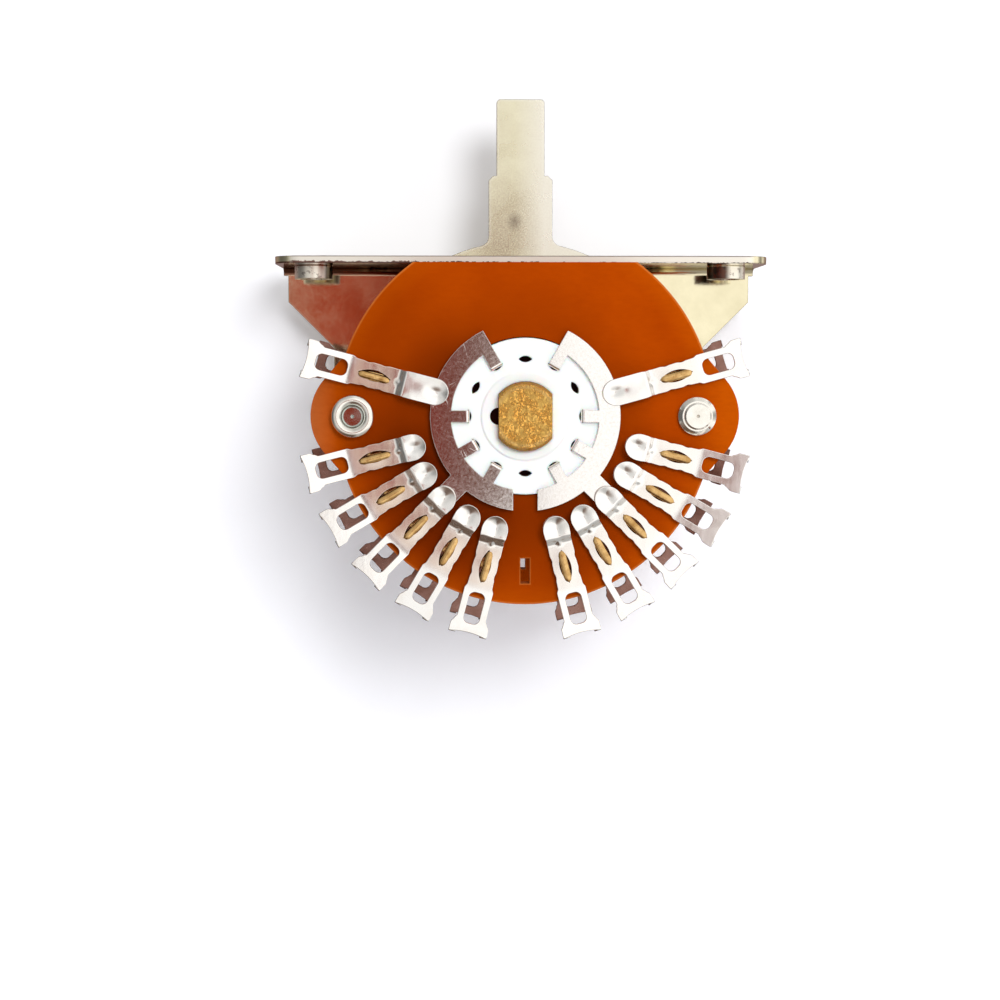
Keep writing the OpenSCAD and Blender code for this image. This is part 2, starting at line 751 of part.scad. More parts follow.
// Tie rod of a post: a front end, wider than the rod on the right, and a riveted head at the back
module post_rod(x, front, head_r, head_l) {
    r = post_d / 2;
    color(nickel) difference() {
        turned(x, 0) polygon(concat(
            [[0, front], [head_r - head_chamfer, front], [head_r, front + head_chamfer]],
            head_r > r ? [[head_r, front + head_l], [r, front + head_l]] : [],
            [[r, plate_back], [rivet_r, plate_back], [rivet_r, plate_back + rivet_l / 2]],
            [[rivet_r - rivet_l / 2, plate_back + rivet_l], [0, plate_back + rivet_l]]
        ));
        turned(x, front) polygon([[0, -cut], [pit_r + cut, -cut], [0, pit_r]]);
    }
}

module post_left() {
    post_rod(-post_x, front_wafer_face - collar_h + collar_sink, post_d / 2, head_chamfer);
}

module post_right() {
    post_rod(post_x, front_wafer_face - washer_h - head_right_l, head_right_r, head_right_l);
}

// Domed collar swaged on the front end of the left post
module post_collar_left() {
    inner = post_d / 2 + press_gap;
    dome = (collar_r - inner) / 2;
    color(nickel) turned(-post_x, front_wafer_face) {
        translate([inner, dome - collar_h]) square([2 * dome, collar_h - dome]);
        intersection() {
            translate([inner + dome, dome - collar_h]) circle(dome);
            translate([inner, -collar_h]) square([2 * dome, collar_h]);
        }
    }
}

// Sloping washer under the head of the right post
module post_washer_right() {
    inner = post_d / 2 + press_gap;
    color(nickel) turned(post_x, front_wafer_face) polygon([
        [inner, 0], [washer_r, 0], [washer_r, -washer_edge], [head_right_r + head_chamfer, -washer_h],
        [inner, -washer_h]
    ]);
}

module spacer(side, y0, l) {
    inner = post_d / 2 + press_gap;
    color(nickel) turned(side * post_x, y0) translate([inner, 0]) square([spacer_d / 2 - inner, l]);
}

bracket();
lever();
shaft();
shaft_retainer();
detent_spring();
detent_balls();
wafer("front");  // front_wafer
wafer("rear");  // rear_wafer
rotor("front");  // front_rotor
rotor("rear");  // rear_rotor
blade("front", "left");  // front_blade_left
blade("front", "right");  // front_blade_right
blade("rear", "left");  // rear_blade_left
blade("rear", "right");  // rear_blade_right
for (deck = ["front", "rear"]) for (side = ["left", "right"]) {
    common = str(deck, "_common_", side);
    clip(deck, common_dir(side), common_tip_r);
    for (i = [1:5]) {
        throw = str(deck, "_throw_", side, "_", i);
        clip(deck, throw_angle(side, i), throw_tip_r);
    }
}
lower_leaves("front");  // front_lower_leaves
lower_leaves("rear");  // rear_lower_leaves
staples("front");  // front_staples
staples("rear");  // rear_staples
post_left();
post_right();
post_collar_left();
post_washer_right();
spacer(-1, front_wafer_back, wafer_gap);  // front_spacer_left
spacer(1, front_wafer_back, wafer_gap);  // front_spacer_right
spacer(-1, rear_wafer_back, rear_gap);  // rear_spacer_left
spacer(1, rear_wafer_back, rear_gap);  // rear_spacer_right
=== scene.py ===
from math import atan2, cos, exp, hypot, pi, radians, sin, sqrt

import bpy
from mathutils import Matrix, Vector
from mathutils.geometry import delaunay_2d_cdt
from mathutils.kdtree import KDTree


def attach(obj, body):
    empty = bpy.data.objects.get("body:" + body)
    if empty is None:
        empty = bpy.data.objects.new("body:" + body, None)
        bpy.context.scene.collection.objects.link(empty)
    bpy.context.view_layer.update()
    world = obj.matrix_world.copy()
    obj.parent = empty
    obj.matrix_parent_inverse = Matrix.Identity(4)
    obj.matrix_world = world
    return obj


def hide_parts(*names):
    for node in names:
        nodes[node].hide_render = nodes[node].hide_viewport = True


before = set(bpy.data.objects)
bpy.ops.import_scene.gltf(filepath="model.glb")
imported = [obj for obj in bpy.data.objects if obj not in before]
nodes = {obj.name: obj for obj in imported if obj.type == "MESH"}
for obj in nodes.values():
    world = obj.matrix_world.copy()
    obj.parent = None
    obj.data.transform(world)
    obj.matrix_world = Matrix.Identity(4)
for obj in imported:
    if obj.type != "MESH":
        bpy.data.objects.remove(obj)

# Five-way lever switch on a pale sweep, seen from the front of its two wafers.
# The scene is in metres, and named places in millimetres are turned into metres by MM.
# X runs along the flange, Y back towards the bracket plate, Z up.

MM = 0.001
for node in nodes.values():
    node.data.update()
bpy.context.view_layer.update()

# Camera
CAMERA_PLACE = Vector((-5.35, -175.35, -10.97)) * MM
CAMERA_PAN = radians(1.083)
CAMERA_TILT = radians(-4.307)
CAMERA_LENS = 62.57
SENSOR = 36.0

# Stage and light
WALL_Y = 8.3 * MM
FLOOR_Z = -90 * MM
SWEEP_R = 40 * MM
SWEEP_STEPS = 16
WALL_TOP = 400 * MM
FLOOR_FRONT = -110 * MM
STAGE_HALF = 500 * MM
PAPER = (0.94, 0.95, 0.99, 1)
PAPER_GLOW = 0.09

ROOM_COLOUR = (1.0, 0.985, 0.96, 1)
# The room's brightness from left (-1) to right (1), then the shares above and below, and the heights
# over which they set in
ROOM_SIDES = [(-1.0, 0.12), (-0.88, 0.2), (-0.65, 0.6), (-0.15, 0.8), (0.05, 1.15), (0.95, 1.15), (1.0, 0.3)]
ROOM_ABOVE = 0.7
ROOM_BELOW = 0.4
BELOW_RANGE = (-0.85, -0.4)
ABOVE_RANGE = (0.4, 0.95)
# Share of the room that lights matt surfaces
ROOM_MATT = 0.58
# The room behind the object
BEHIND_COLOUR = (0.3, 0.22, 0.2, 1)
BEHIND_RANGE = (0.1, 0.7)
# A brown part of the room, low on the left: its colour, and its soft edges on the right and above
LOW_COLOUR = (0.32, 0.22, 0.17, 1)
LOW_RIGHT = (-0.05, 0.2)
LOW_TOP = (-0.7, -0.3)
# The dark patch straight in front of the object: its soft edges, and its colours from left to right
PATCH_LEFT = (-0.14, -0.1)
PATCH_RIGHT = (0.024, 0.044)
PATCH_TOP = (0.08, 0.11)
PATCH_FRONT = (-0.6, -0.5)
PATCH_SPAN = (-0.08, 0.02)
PATCH_COLOURS = [(0.1, (0.38, 0.045, 0.016, 1)), (0.6, (0.16, 0.022, 0.014, 1)), (0.95, (0.18, 0.1, 0.08, 1))]

# Lamps: place and size in mm, and watts
LAMPS = {"key": ((190, -520, 190), 260, 1.7),
         "top": ((0, -330, 450), 220, 0.7),
         "back_fill": ((60, 400, 250), 300, 0.4)}
AIM = Vector((0, -5, -12)) * MM

# Places on the object, in mm
SHAFT_DROP = 15.3
SHAFT_AXIS = (0, 0, -SHAFT_DROP)
FACE_Y = {"front": -15.2, "rear": -3.2}
LEFT_POST = (-15.85, 0, -SHAFT_DROP)
# The bracket: its flange's front edge, the bosses, whose foot and facing sides are painted dark as shade, and
# the underside with the inside of the bend, painted brown as shade and reflection
FRONT_Y = (-5.46, -5.3)
BOSS_Y = (-3.0, 3.0)
BOSS_Z = (-2.2, -0.78)
BOSS_FOOT = (-2.08, -1.96)
BETWEEN_BOSSES = (-19.3, 20.6)
UNDER_Y = (-5.4, 5.0)
UNDER_Z = (-1.36, -0.55)
# Height of the burr's upper edge at the left and the right of the flange
BURR_X = (-22.0, 10.0)
BURR_Z = (-0.5, -0.66)
# The post's disc inside its collar, greyed as a painted reflection, and the rim and chamfer of the shaft, the
# rim painted paler as a highlight
DISC_R = (0.94, 1.04)
RIM_R = (2.55, 2.82)
CHAMFER_R = (2.86, 3.0)
# How the shaft's sheared end leans
SHAFT_SLANT = (0.11, 0, 0.05)
LEVER_BROWN_SPOT = (-1.6, 0, 2.2)
LEVER_SMUDGE = (-0.6, 0, 3.7)
# Radii between which a clip is tarnished, with a painted reflection on the left, and its lower leaf is
# painted dark as shade, and where the lug begins
WAIST_R = (12.4, 16.3)
OPENING_SHADE_R = (12.5, 16.3)
LUG_R = (16.4, 17.0)
# Painted shade in the rotor's slits: radius of its soft edge, and its depths about the wafer's face
SLIT_SHADE_R = (6.9, 6.95)
SLIT_SHADE_Y = (-0.12, 2.2)
# The staple slot that is left empty: half width, half length and distance from the shaft
SPARE_SLOT = (0.425, 1.175, 14.35)
# The wafer's round edge with its painted highlight, how far above and below the shaft it starts, and the
# painted reflection on the left ear
WAFER_RIM_R = (17.3, 17.6)
WAFER_RIM_Z = (5.6, 6.4)
EAR_REFLECTION_X = (-20.6, -17.2)
# Patches of painted shade on the laminate: place, reach and depth of tone
SHADE_SPOTS = [((-9.5, 0, -22.0), 10.0, 0.82), ((-8.0, 0, -20.0), 5.5, 0.5), ((-6.5, 0, -26.0), 9.0, 0.75),
          ((-13.0, 0, -16.5), 6.0, 0.5), ((3.0, 0, -26.0), 13.0, 0.5), ((9.0, 0, -21.5), 9.0, 0.3),
          ((-13.0, 0, -9.0), 14.0, 0.32), ((-7.5, 0, -11.0), 5.0, 0.35)]


# Node helpers
class Nodes:
    """A node tree, with short calls for the nodes that repeat."""

    def __init__(self, tree):
        self.tree = tree
        tree.nodes.clear()

    def link(self, source, target):
        self.tree.links.new(source, target)

    def put(self, node, inputs):
        for key, value in inputs.items():
            socket = node.inputs[key]
            if isinstance(value, bpy.types.NodeSocket):
                self.link(value, socket)
            else:
                socket.default_value = value

    def node(self, kind, inputs=None, **settings):
        made = self.tree.nodes.new("ShaderNode" + kind)
        for key, value in settings.items():
            setattr(made, key, value)
        self.put(made, inputs or {})
        return made

    def scaled(self, value, low, high, start=0.3, end=0.7):
        """A value between start and end, taken to low and high."""
        made = self.node("MapRange", {
            "Value": value, "From Min": start, "From Max": end, "To Min": low, "To Max": high})
        return made.outputs["Result"]

    def eased(self, value, low, high, start, end):
        """The same, with a smooth step from low to high."""
        result = self.scaled(value, low, high, start, end)
        result.node.interpolation_type = "SMOOTHSTEP"
        return result

    def ramp(self, value, stops):
        made = self.node("ValToRGB", {"Fac": value})
        elements = made.color_ramp.elements
        elements[0].position, elements[0].color = stops[0]
        elements[1].position, elements[1].color = stops[-1]
        for position, colour in stops[1:-1]:
            elements.new(position).color = colour
        return made.outputs["Color"]

    def mix(self, share, first, second, blend="MIX"):
        inputs = {0: share, 6: first, 7: second}
        return self.node("Mix", inputs, data_type="RGBA", blend_type=blend).outputs[2]

    def maths(self, operation, first, second=0.0, clamp=False):
        return self.node("Math", {0: first, 1: second}, operation=operation, use_clamp=clamp).outputs[0]

    def times(self, first, second):
        return self.maths("MULTIPLY", first, second)


class Shader(Nodes):
    """A material's nodes, placed by the object's own coordinates."""

    def __init__(self, name):
        self.material = bpy.data.materials.new(name)
        self.material.use_nodes = True
        super().__init__(self.material.node_tree)
        self.output = self.node("OutputMaterial")
        self.coords = self.node("TexCoord").outputs["Object"]

    def stretched(self, scale, turn=(0, 0, 0)):
        """The object's own coordinates, stretched for a directional grain."""
        mapping = self.node("Mapping", {"Vector": self.coords, "Scale": scale, "Rotation": turn})
        return mapping.outputs["Vector"]

    def noise(self, size_mm, detail=3.0, rough=0.5, where=None, distortion=0.0):
        """Noise whose features are about size_mm across."""
        made = self.node("TexNoise", {
            "Vector": where or self.coords, "Scale": 1 / (size_mm * MM),
            "Detail": detail, "Roughness": rough, "Distortion": distortion})
        return made.outputs["Fac"]

    def distance(self, place_mm, weights=(1, 1, 1)):
        """Distance in mm from a place, each axis counted by its weight."""
        scale = [weight / MM for weight in weights]
        shift = [-weight * place for weight, place in zip(weights, place_mm)]
        moved = self.node("VectorMath", {0: self.coords, 1: scale, 2: shift}, operation="MULTIPLY_ADD")
        return self.node("VectorMath", {0: moved.outputs[0]}, operation="LENGTH").outputs["Value"]

    def along(self, axis):
        """X, Y or Z in mm."""
        split = self.node("SeparateXYZ", {0: self.coords})
        return self.maths("DIVIDE", split.outputs[axis], MM)

    def between(self, value, low, high, soft):
        """1 between low and high, 0 outside, with soft edges."""
        rise = self.scaled(value, 0.0, 1.0, low - soft, low + soft)
        fall = self.scaled(value, 1.0, 0.0, high - soft, high + soft)
        return self.times(rise, fall)

    def bump(self, height, depth_mm, strength=1.0, normal=None):
        inputs = {"Height": height, "Distance": depth_mm * MM, "Strength": strength}
        if normal:
            inputs["Normal"] = normal
        return self.node("Bump", inputs).outputs["Normal"]

    def rounded(self, radius_mm):
        """Normals that run smoothly over the sharp edges, as plating and tumbling leave them."""
        return self.node("Bevel", {"Radius": radius_mm * MM}, samples=4).outputs["Normal"]

    def edges(self, radius_mm, full=0.75, none=0.86):
        """1 along the sheet's sharp edges and 0 on its flat parts."""
        turned = self.rounded(radius_mm)
        flat = self.node("NewGeometry").outputs["True Normal"]
        agree = self.node("VectorMath", {0: turned, 1: flat}, operation="DOT_PRODUCT").outputs["Value"]
        return self.scaled(agree, 1.0, 0.0, full, none)

    def surface(self, inputs):
        shader = self.node("BsdfPrincipled", inputs)
        self.link(shader.outputs[0], self.output.inputs["Surface"])
        return self.material


def rgb(red, green, blue):
    return (red, green, blue, 1)


# Materials
def plated_steel():
    """Bright nickel plate on rolled sheet. Beneath the flange it is painted brown as shade and reflection,
    most on the left, and its sharp edges are painted dark as shade. The drawn bosses are paler, with dark
    smudges, and painted dark as shade on their foot and on the sides that face each other. The sheared front
    edge is matt, with a brown burred lower edge and a painted dark line of shade along its top."""
    s = Shader("plated_steel")
    blotch = s.noise(5.0, 4, 0.55)
    fine = s.noise(0.35, 4, 0.6)
    x, y, z = s.along("X"), s.along("Y"), s.along("Z")
    base = s.ramp(blotch, [(0.3, rgb(0.76, 0.69, 0.47)), (0.6, rgb(0.88, 0.81, 0.57))])
    grime_and_shade = rgb(0.1, 0.05, 0.035)
    front = s.scaled(y, 1.0, 0.0, *FRONT_Y)
    # Painted shade: dark outlines along the sheet's sharp edges, none on the front edge
    base = s.mix(s.times(s.edges(0.2), s.maths("SUBTRACT", 0.75, front, clamp=True)), base, grime_and_shade)
    base = s.mix(front, base, rgb(1.0, 0.96, 0.87))
    boss = s.times(s.between(z, *BOSS_Z, 0.04), s.between(y, *BOSS_Y, 0.1))
    base = s.mix(boss, base, rgb(1.0, 0.95, 0.84))
    # Painted shade and reflection: the underside beneath the flange, browner towards the left
    underside_shade = s.times(s.between(z, *UNDER_Z, 0.03), s.between(y, *UNDER_Y, 0.06))
    underside_shade = s.maths("SUBTRACT", underside_shade, boss, clamp=True)
    base = s.mix(s.times(underside_shade, s.scaled(x, 0.92, 0.15, -9.0, 5.0)), base, rgb(0.22, 0.075, 0.045))
    patches = s.noise(0.6, 3, 0.6)
    boss_shade = s.ramp(patches, [(0.4, rgb(0.02, 0.006, 0.005)), (0.62, rgb(0.16, 0.065, 0.045))])
    base = s.mix(s.times(boss, s.scaled(patches, 0.0, 0.5, 0.56, 0.62)), base, grime_and_shade)
    # Painted shade: the bosses' foot and the sides that face each other are darkened, with mottling
    foot = s.scaled(z, 1.0, 0.0, *BOSS_FOOT)
    boss_shade_mask = s.times(boss, s.maths("MAXIMUM", s.between(x, *BETWEEN_BOSSES, 0.3), foot))
    base = s.mix(s.times(boss_shade_mask, 0.94), base, boss_shade)
    # A brown burr along the lower side of the front edge, and a painted dark line of shade along its top
    line = s.maths("ADD", s.scaled(x, *BURR_Z, *BURR_X), s.scaled(fine, -0.08, 0.08, 0.35, 0.65))
    burr_and_top_shade = s.scaled(s.maths("SUBTRACT", z, line), 1.0, 0.0, -0.03, 0.03)
    burr_and_top_shade = s.maths("MAXIMUM", s.scaled(z, 0.0, 0.75, -0.11, -0.07), burr_and_top_shade)
    brown = s.mix(s.scaled(x, 0.0, 1.0, -20, 20), rgb(0.2, 0.11, 0.09), grime_and_shade)
    base = s.mix(s.times(front, burr_and_top_shade), base, brown)
    rough = s.maths("ADD", s.scaled(blotch, 0.07, 0.11), s.scaled(fine, -0.01, 0.02))
    rough = s.maths("MAXIMUM", rough, s.times(front, 0.42))
    rough = s.maths("MAXIMUM", rough, s.times(boss, 0.3))
    normal = s.bump(fine, 0.003, 0.4, s.rounded(0.14))
    return s.surface({"Base Color": base, "Metallic": 1.0, "Roughness": rough, "Normal": normal})


def lever_steel():
    """The lever's plate is duller, with a fine sanded grain, browner low on the left, and with a smudge above
    the sector.
    Painted light makes it paler to the right, a painted highlight runs along its edges, and a painted dark
    outline of shade lies on them."""
    s = Shader("lever_steel")
    blotch = s.noise(4.0, 4, 0.6)
    grain = s.noise(0.16, 4, 0.7)
    base = s.ramp(blotch, [(0.3, rgb(0.74, 0.69, 0.48)), (0.62, rgb(0.9, 0.865, 0.635))])
    pale = rgb(1.0, 0.98, 0.88)
    # Painted light: paler towards the right
    base = s.mix(s.scaled(s.along("X"), 0.1, 0.9, -0.6, 2.4), base, pale)
    # Browner low on the left
    low_left_brown = s.scaled(s.distance(LEVER_BROWN_SPOT, (0.8, 0, 0.45)), 1.0, 0.0, 0.6, 3.2)
    low_left_brown = s.times(low_left_brown, s.scaled(grain, 0.1, 0.75))
    share = s.maths("ADD", s.scaled(grain, 0.0, 0.12, 0.4, 0.72), low_left_brown)
    base = s.mix(share, base, rgb(0.42, 0.31, 0.22))
    smudge = s.scaled(s.distance(LEVER_SMUDGE, (1, 0, 0.8)), 0.75, 0.0, 0.05, 0.9)
    base = s.mix(s.times(smudge, s.scaled(grain, 0.6, 1.0)), base, rgb(0.16, 0.11, 0.09))
    # A painted highlight along the edges, and a painted dark outline of shade on them
    base = s.mix(s.times(s.edges(0.5, 0.9, 0.98), 0.8), base, pale)
    base = s.mix(s.times(s.edges(0.22), 0.85), base, rgb(0.14, 0.1, 0.08))
    rough = s.scaled(blotch, 0.22, 0.34)
    normal = s.bump(grain, 0.01, 0.5, s.rounded(0.16))
    return s.surface({"Base Color": base, "Metallic": 1.0, "Roughness": rough, "Normal": normal})


def silvered():
    """Silver-plated spring brass: satin, with a brown tarnish along its waist that is stronger on the left,
    where the extra brown is a painted reflection, and where the lugs have been polished by handling."""
    s = Shader("silvered_clips")
    blotch = s.noise(1.6, 3, 0.5)
    streaks = s.noise(0.4, 3, 0.6, s.stretched((1, 1, 0.15)))
    base = s.ramp(blotch, [(0.3, rgb(0.95, 0.92, 0.88)), (0.6, rgb(1.0, 0.99, 0.97))])
    radius = s.distance(SHAFT_AXIS, (1, 0, 1))
    x = s.along("X")
    # Tarnish along the waist; the stronger brown on the left is a painted reflection
    waist = s.times(s.between(radius, *WAIST_R, 0.35), s.scaled(x, 0.5, 0.12, -12.0, 4.0))
    base = s.mix(s.times(waist, s.scaled(blotch, 0.6, 1.2)), base, rgb(0.85, 0.6, 0.38))
    rough = s.maths("ADD", s.scaled(blotch, 0.15, 0.21), s.scaled(streaks, -0.015, 0.03))
    polished = s.times(s.scaled(radius, 0.0, 0.5, *LUG_R), s.scaled(x, 1.0, 0.0, 5.0, 9.0))
    rough = s.times(rough, s.maths("SUBTRACT", 1.0, polished))
    normal = s.bump(s.noise(0.5, 2, 0.5), 0.003, 0.4)
    return s.surface({"Base Color": base, "Metallic": 1.0, "Roughness": rough, "Normal": normal})


def blade_silver():
    """The rotors' blades: bright silver plate, finely scratched by handling."""
    s = Shader("blade_silver")
    fine = s.noise(0.25, 4, 0.65)
    patchy = s.scaled(s.noise(1.6, 2, 0.5), 0.0, 1.0, 0.45, 0.6)
    scratches = 0.0
    for turn in (0.4, 1.1, 2.0, 2.6):
        turned = s.stretched((1, 1, 1), (0, turn, 0))
        lines = s.node("Mapping", {"Vector": turned, "Scale": (1, 1, 0.05)}).outputs["Vector"]
        scratch = s.scaled(s.noise(0.12, 1, 0.5, lines), 0.0, 1.0, 0.73, 0.78)
        scratches = s.maths("MAXIMUM", scratches, scratch)
    scratches = s.times(scratches, patchy)
    base = s.ramp(fine, [(0.3, rgb(0.86, 0.82, 0.78)), (0.6, rgb(0.98, 0.96, 0.94))])
    rough = s.maths("ADD", s.scaled(fine, 0.06, 0.11), s.times(scratches, 0.16))
    rough = s.maths("MAXIMUM", rough, s.times(s.edges(0.14), 0.65))
    normal = s.bump(fine, 0.003, 0.4, s.rounded(0.08))
    return s.surface({"Base Color": base, "Metallic": 1.0, "Roughness": rough, "Normal": normal})


def shaded_silver(name, base_low, base_high):
    """Silver painted brown as the shade and reflections it lies in, away from the light."""
    s = Shader(name)
    blotch = s.noise(1.6, 3, 0.6)
    base = s.ramp(blotch, [(0.3, base_low), (0.65, base_high)])
    normal = s.bump(s.noise(0.3, 3, 0.6), 0.003, 0.4)
    return s.surface({"Base Color": base, "Metallic": 1.0, "Roughness": s.scaled(blotch, 0.2, 0.3),
                      "Normal": normal})


def lower_silver():
    """The lower leaves: bright at their tips, and painted dark as shade inside the openings round the
    staples.
    """
    s = Shader("lower_silver")
    blotch = s.noise(1.6, 3, 0.5)
    base = s.ramp(blotch, [(0.3, rgb(0.9, 0.86, 0.8)), (0.6, rgb(0.98, 0.96, 0.94))])
    # Painted shade: dark inside the openings round the staples
    opening_shade = s.between(s.distance(SHAFT_AXIS, (1, 0, 1)), *OPENING_SHADE_R, 0.15)
    base = s.mix(opening_shade, base, rgb(0.06, 0.028, 0.018))
    rough = s.maths("MAXIMUM", s.scaled(blotch, 0.12, 0.18), s.times(opening_shade, 0.5))
    return s.surface({"Base Color": base, "Metallic": 1.0, "Roughness": rough, "Normal": s.rounded(0.06)})


def staple_brass():
    """Rolled brass wire, darkened in its grain."""
    s = Shader("staple_brass")
    blotch = s.noise(0.8, 4, 0.6)
    base = s.ramp(blotch, [(0.3, rgb(0.46, 0.25, 0.08)), (0.6, rgb(0.8, 0.52, 0.22))])
    rough = s.scaled(blotch, 0.14, 0.24)
    normal = s.bump(s.noise(0.15, 3, 0.6), 0.014, 0.8)
    return s.surface({"Base Color": base, "Metallic": 1.0, "Roughness": rough, "Normal": normal})


def shaft_brass():
    """Cut bar brass: the shear leaves its end face a little slanted and crazed with fine grooves,
    with a burred rim painted paler as a highlight and a dark chamfer round it."""
    s = Shader("shaft_brass")
    crinkle = s.noise(0.3, 5, 0.65, s.stretched((1, 1, 0.6)), distortion=1.4)
    off_line = s.maths("ABSOLUTE", s.maths("SUBTRACT", crinkle, 0.5))
    groove = s.scaled(off_line, 1.0, 0.0, 0.0, 0.07)
    blotch = s.noise(1.1, 4, 0.65)
    base = s.ramp(blotch, [(0.32, rgb(1.0, 0.47, 0.09)), (0.62, rgb(1.0, 0.62, 0.165))])
    base = s.mix(s.scaled(groove, 0.0, 0.6, 0.2, 1.0), base, rgb(0.6, 0.25, 0.045))
    radius = s.distance(SHAFT_AXIS, (1, 0, 1))
    # A painted highlight: the rim is paler
    base = s.mix(s.times(s.between(radius, *RIM_R, 0.08), 0.6), base, rgb(0.95, 0.6, 0.22))
    base = s.mix(s.scaled(radius, 0.0, 0.7, *CHAMFER_R), base, rgb(0.36, 0.17, 0.04))
    rough = s.scaled(blotch, 0.22, 0.32)
    slanted = s.node("VectorMath", {0: s.rounded(0.25), 1: SHAFT_SLANT}, operation="ADD").outputs[0]
    slanted = s.node("VectorMath", {0: slanted}, operation="NORMALIZE").outputs[0]
    normal = s.bump(groove, -0.028, 1.0, slanted)
    return s.surface({"Base Color": base, "Metallic": 1.0, "Roughness": rough, "Normal": normal})


def post_nickel():
    """The posts: whiter nickel, with a painted reflection that greys the middle of the left one."""
    s = Shader("post_nickel")
    blotch = s.noise(1.5, 3, 0.6)
    base = s.ramp(blotch, [(0.3, rgb(0.82, 0.79, 0.72)), (0.6, rgb(0.96, 0.94, 0.88))])
    # Painted reflection: the middle of the left post is greyed
    disc = s.scaled(s.distance(LEFT_POST, (1, 0, 1)), 1.0, 0.0, *DISC_R)
    base = s.mix(s.times(disc, 0.75), base, rgb(0.5, 0.57, 0.56))
    rough = s.scaled(blotch, 0.08, 0.15)
    normal = s.bump(s.noise(0.3, 3, 0.6), 0.003, 0.5, s.rounded(0.06))
    return s.surface({"Base Color": base, "Metallic": 1.0, "Roughness": rough, "Normal": normal})


def slit_shade():
    """Painted shade: a dark matt surface for the bottom of the rotor's slits."""
    s = Shader("slit_shade")
    blotch = s.noise(0.6, 3, 0.6)
    base = s.ramp(blotch, [(0.3, rgb(0.03, 0.004, 0.003)), (0.7, rgb(0.07, 0.012, 0.008))])
    return s.surface({"Base Color": base, "Roughness": s.scaled(blotch, 0.5, 0.7), "Specular IOR Level": 0.1})


def spring_steel():
    """Grey hardened steel, for the detent and the retaining clip."""
    s = Shader("spring_steel")
    blotch = s.noise(2.0, 3, 0.6)
    base = s.ramp(blotch, [(0.3, rgb(0.42, 0.4, 0.38)), (0.7, rgb(0.62, 0.6, 0.58))])
    rough = s.scaled(blotch, 0.2, 0.34)
    normal = s.bump(s.noise(0.2, 3, 0.6), 0.006, 0.5)
    return s.surface({"Base Color": base, "Metallic": 1.0, "Roughness": rough, "Normal": normal})


def laminate():
    """Paper laminate: saturated orange-brown, satin, with a faint mottle and paper fibres, and pale round the
    empty staple slot.
    Painted shade darkens it round the rotor and in patches, painted light brightens it towards the ears, a
    painted reflection browns the left ear, and a painted highlight runs along its round edge."""
    s = Shader("laminate")
    mottle = s.noise(7.0, 3, 0.55)
    fibre = s.noise(0.3, 3, 0.6, s.stretched((0.35, 1, 1)))
    base = s.ramp(mottle, [(0.3, rgb(0.395, 0.047, 0.0002)), (0.7, rgb(0.46, 0.059, 0.0003))])
    radius = s.distance(SHAFT_AXIS, (1, 0, 1))
    # Painted shade round the rotor, and painted light towards the ears
    base = s.mix(s.scaled(radius, 0.6, 0.0, 8.5, 13.0), base, rgb(0.27, 0.03, 0.0002))
    base = s.mix(s.scaled(radius, 0.0, 0.5, 15.5, 18.5), base, rgb(0.62, 0.11, 0.001))
    half_w, half_l, slot_r = SPARE_SLOT
    x, z = s.along("X"), s.along("Z")
    across = s.maths("SUBTRACT", s.maths("ABSOLUTE", x), half_w)
    low = s.maths("ADD", z, SHAFT_DROP + slot_r)
    slot = s.maths("MAXIMUM", across, s.maths("SUBTRACT", s.maths("ABSOLUTE", low), half_l))
    # A painted highlight along the disc's round edge, and a pale outline round the empty slot
    beside = s.scaled(s.maths("ABSOLUTE", s.maths("ADD", z, SHAFT_DROP)), 0.0, 1.0, *WAFER_RIM_Z)
    round_edge = s.times(s.between(radius, *WAFER_RIM_R, 0.06), beside)
    rim = s.maths("MAXIMUM", s.between(slot, -0.05, 0.1, 0.03), round_edge)
    base = s.mix(s.times(rim, 0.34), base, rgb(0.9, 0.34, 0.08))
    # Painted reflection: browner towards the left ear
    base = s.mix(s.scaled(x, 0.6, 0.0, *EAR_REFLECTION_X), base, rgb(0.36, 0.15, 0.06))
    # Patches of painted shade
    for place, reach, depth in SHADE_SPOTS:
        spot_shade = s.eased(s.distance(place, (1, 0, 1)), depth, 0.0, 0.0, reach)
        base = s.mix(spot_shade, base, rgb(0.06, 0.003, 0.0001))
    base = s.mix(s.scaled(fibre, 0.0, 0.15, 0.4, 0.75), base, rgb(0.25, 0.025, 0.0002))
    rough = s.scaled(fibre, 0.4, 0.52)
    normal = s.bump(fibre, 0.008, 0.4, s.rounded(0.1))
    return s.surface({"Base Color": base, "Roughness": rough, "Normal": normal,
                      "Specular IOR Level": 0.15, "Specular Tint": rgb(1.0, 0.35, 0.02)})


def white_nylon():
    """Moulded nylon: white, soft in its shine, with a very faint unevenness, and painted dark as shade deep
    in the slits.
    """
    s = Shader("white_nylon")
    cloud = s.noise(3.0, 3, 0.5)
    base = s.ramp(cloud, [(0.3, rgb(0.95, 0.94, 0.92)), (0.7, rgb(0.98, 0.975, 0.96))])
    depth = s.along("Y")
    # Painted shade: dark deep in the rotor's slits
    core = s.scaled(s.distance(SHAFT_AXIS, (1, 0, 1)), 1.0, 0.0, *SLIT_SHADE_R)
    front, back = SLIT_SHADE_Y
    for face in FACE_Y.values():
        deep = s.between(depth, face + front, face + back, 0.06)
        base = s.mix(s.times(core, deep), base, rgb(0.05, 0.018, 0.01))
    rough = s.scaled(cloud, 0.34, 0.44)
    normal = s.bump(s.noise(0.4, 3, 0.6), 0.006, 0.4, s.rounded(0.25))
    return s.surface({"Base Color": base, "Roughness": rough, "Normal": normal,
                      "Subsurface Weight": 0.4, "Subsurface Scale": 1.0 * MM})


def dress(made, names):
    """Gives a material to CAD nodes."""
    for name in names:
        slots = nodes[name].data.materials
        slots.clear()
        slots.append(made)


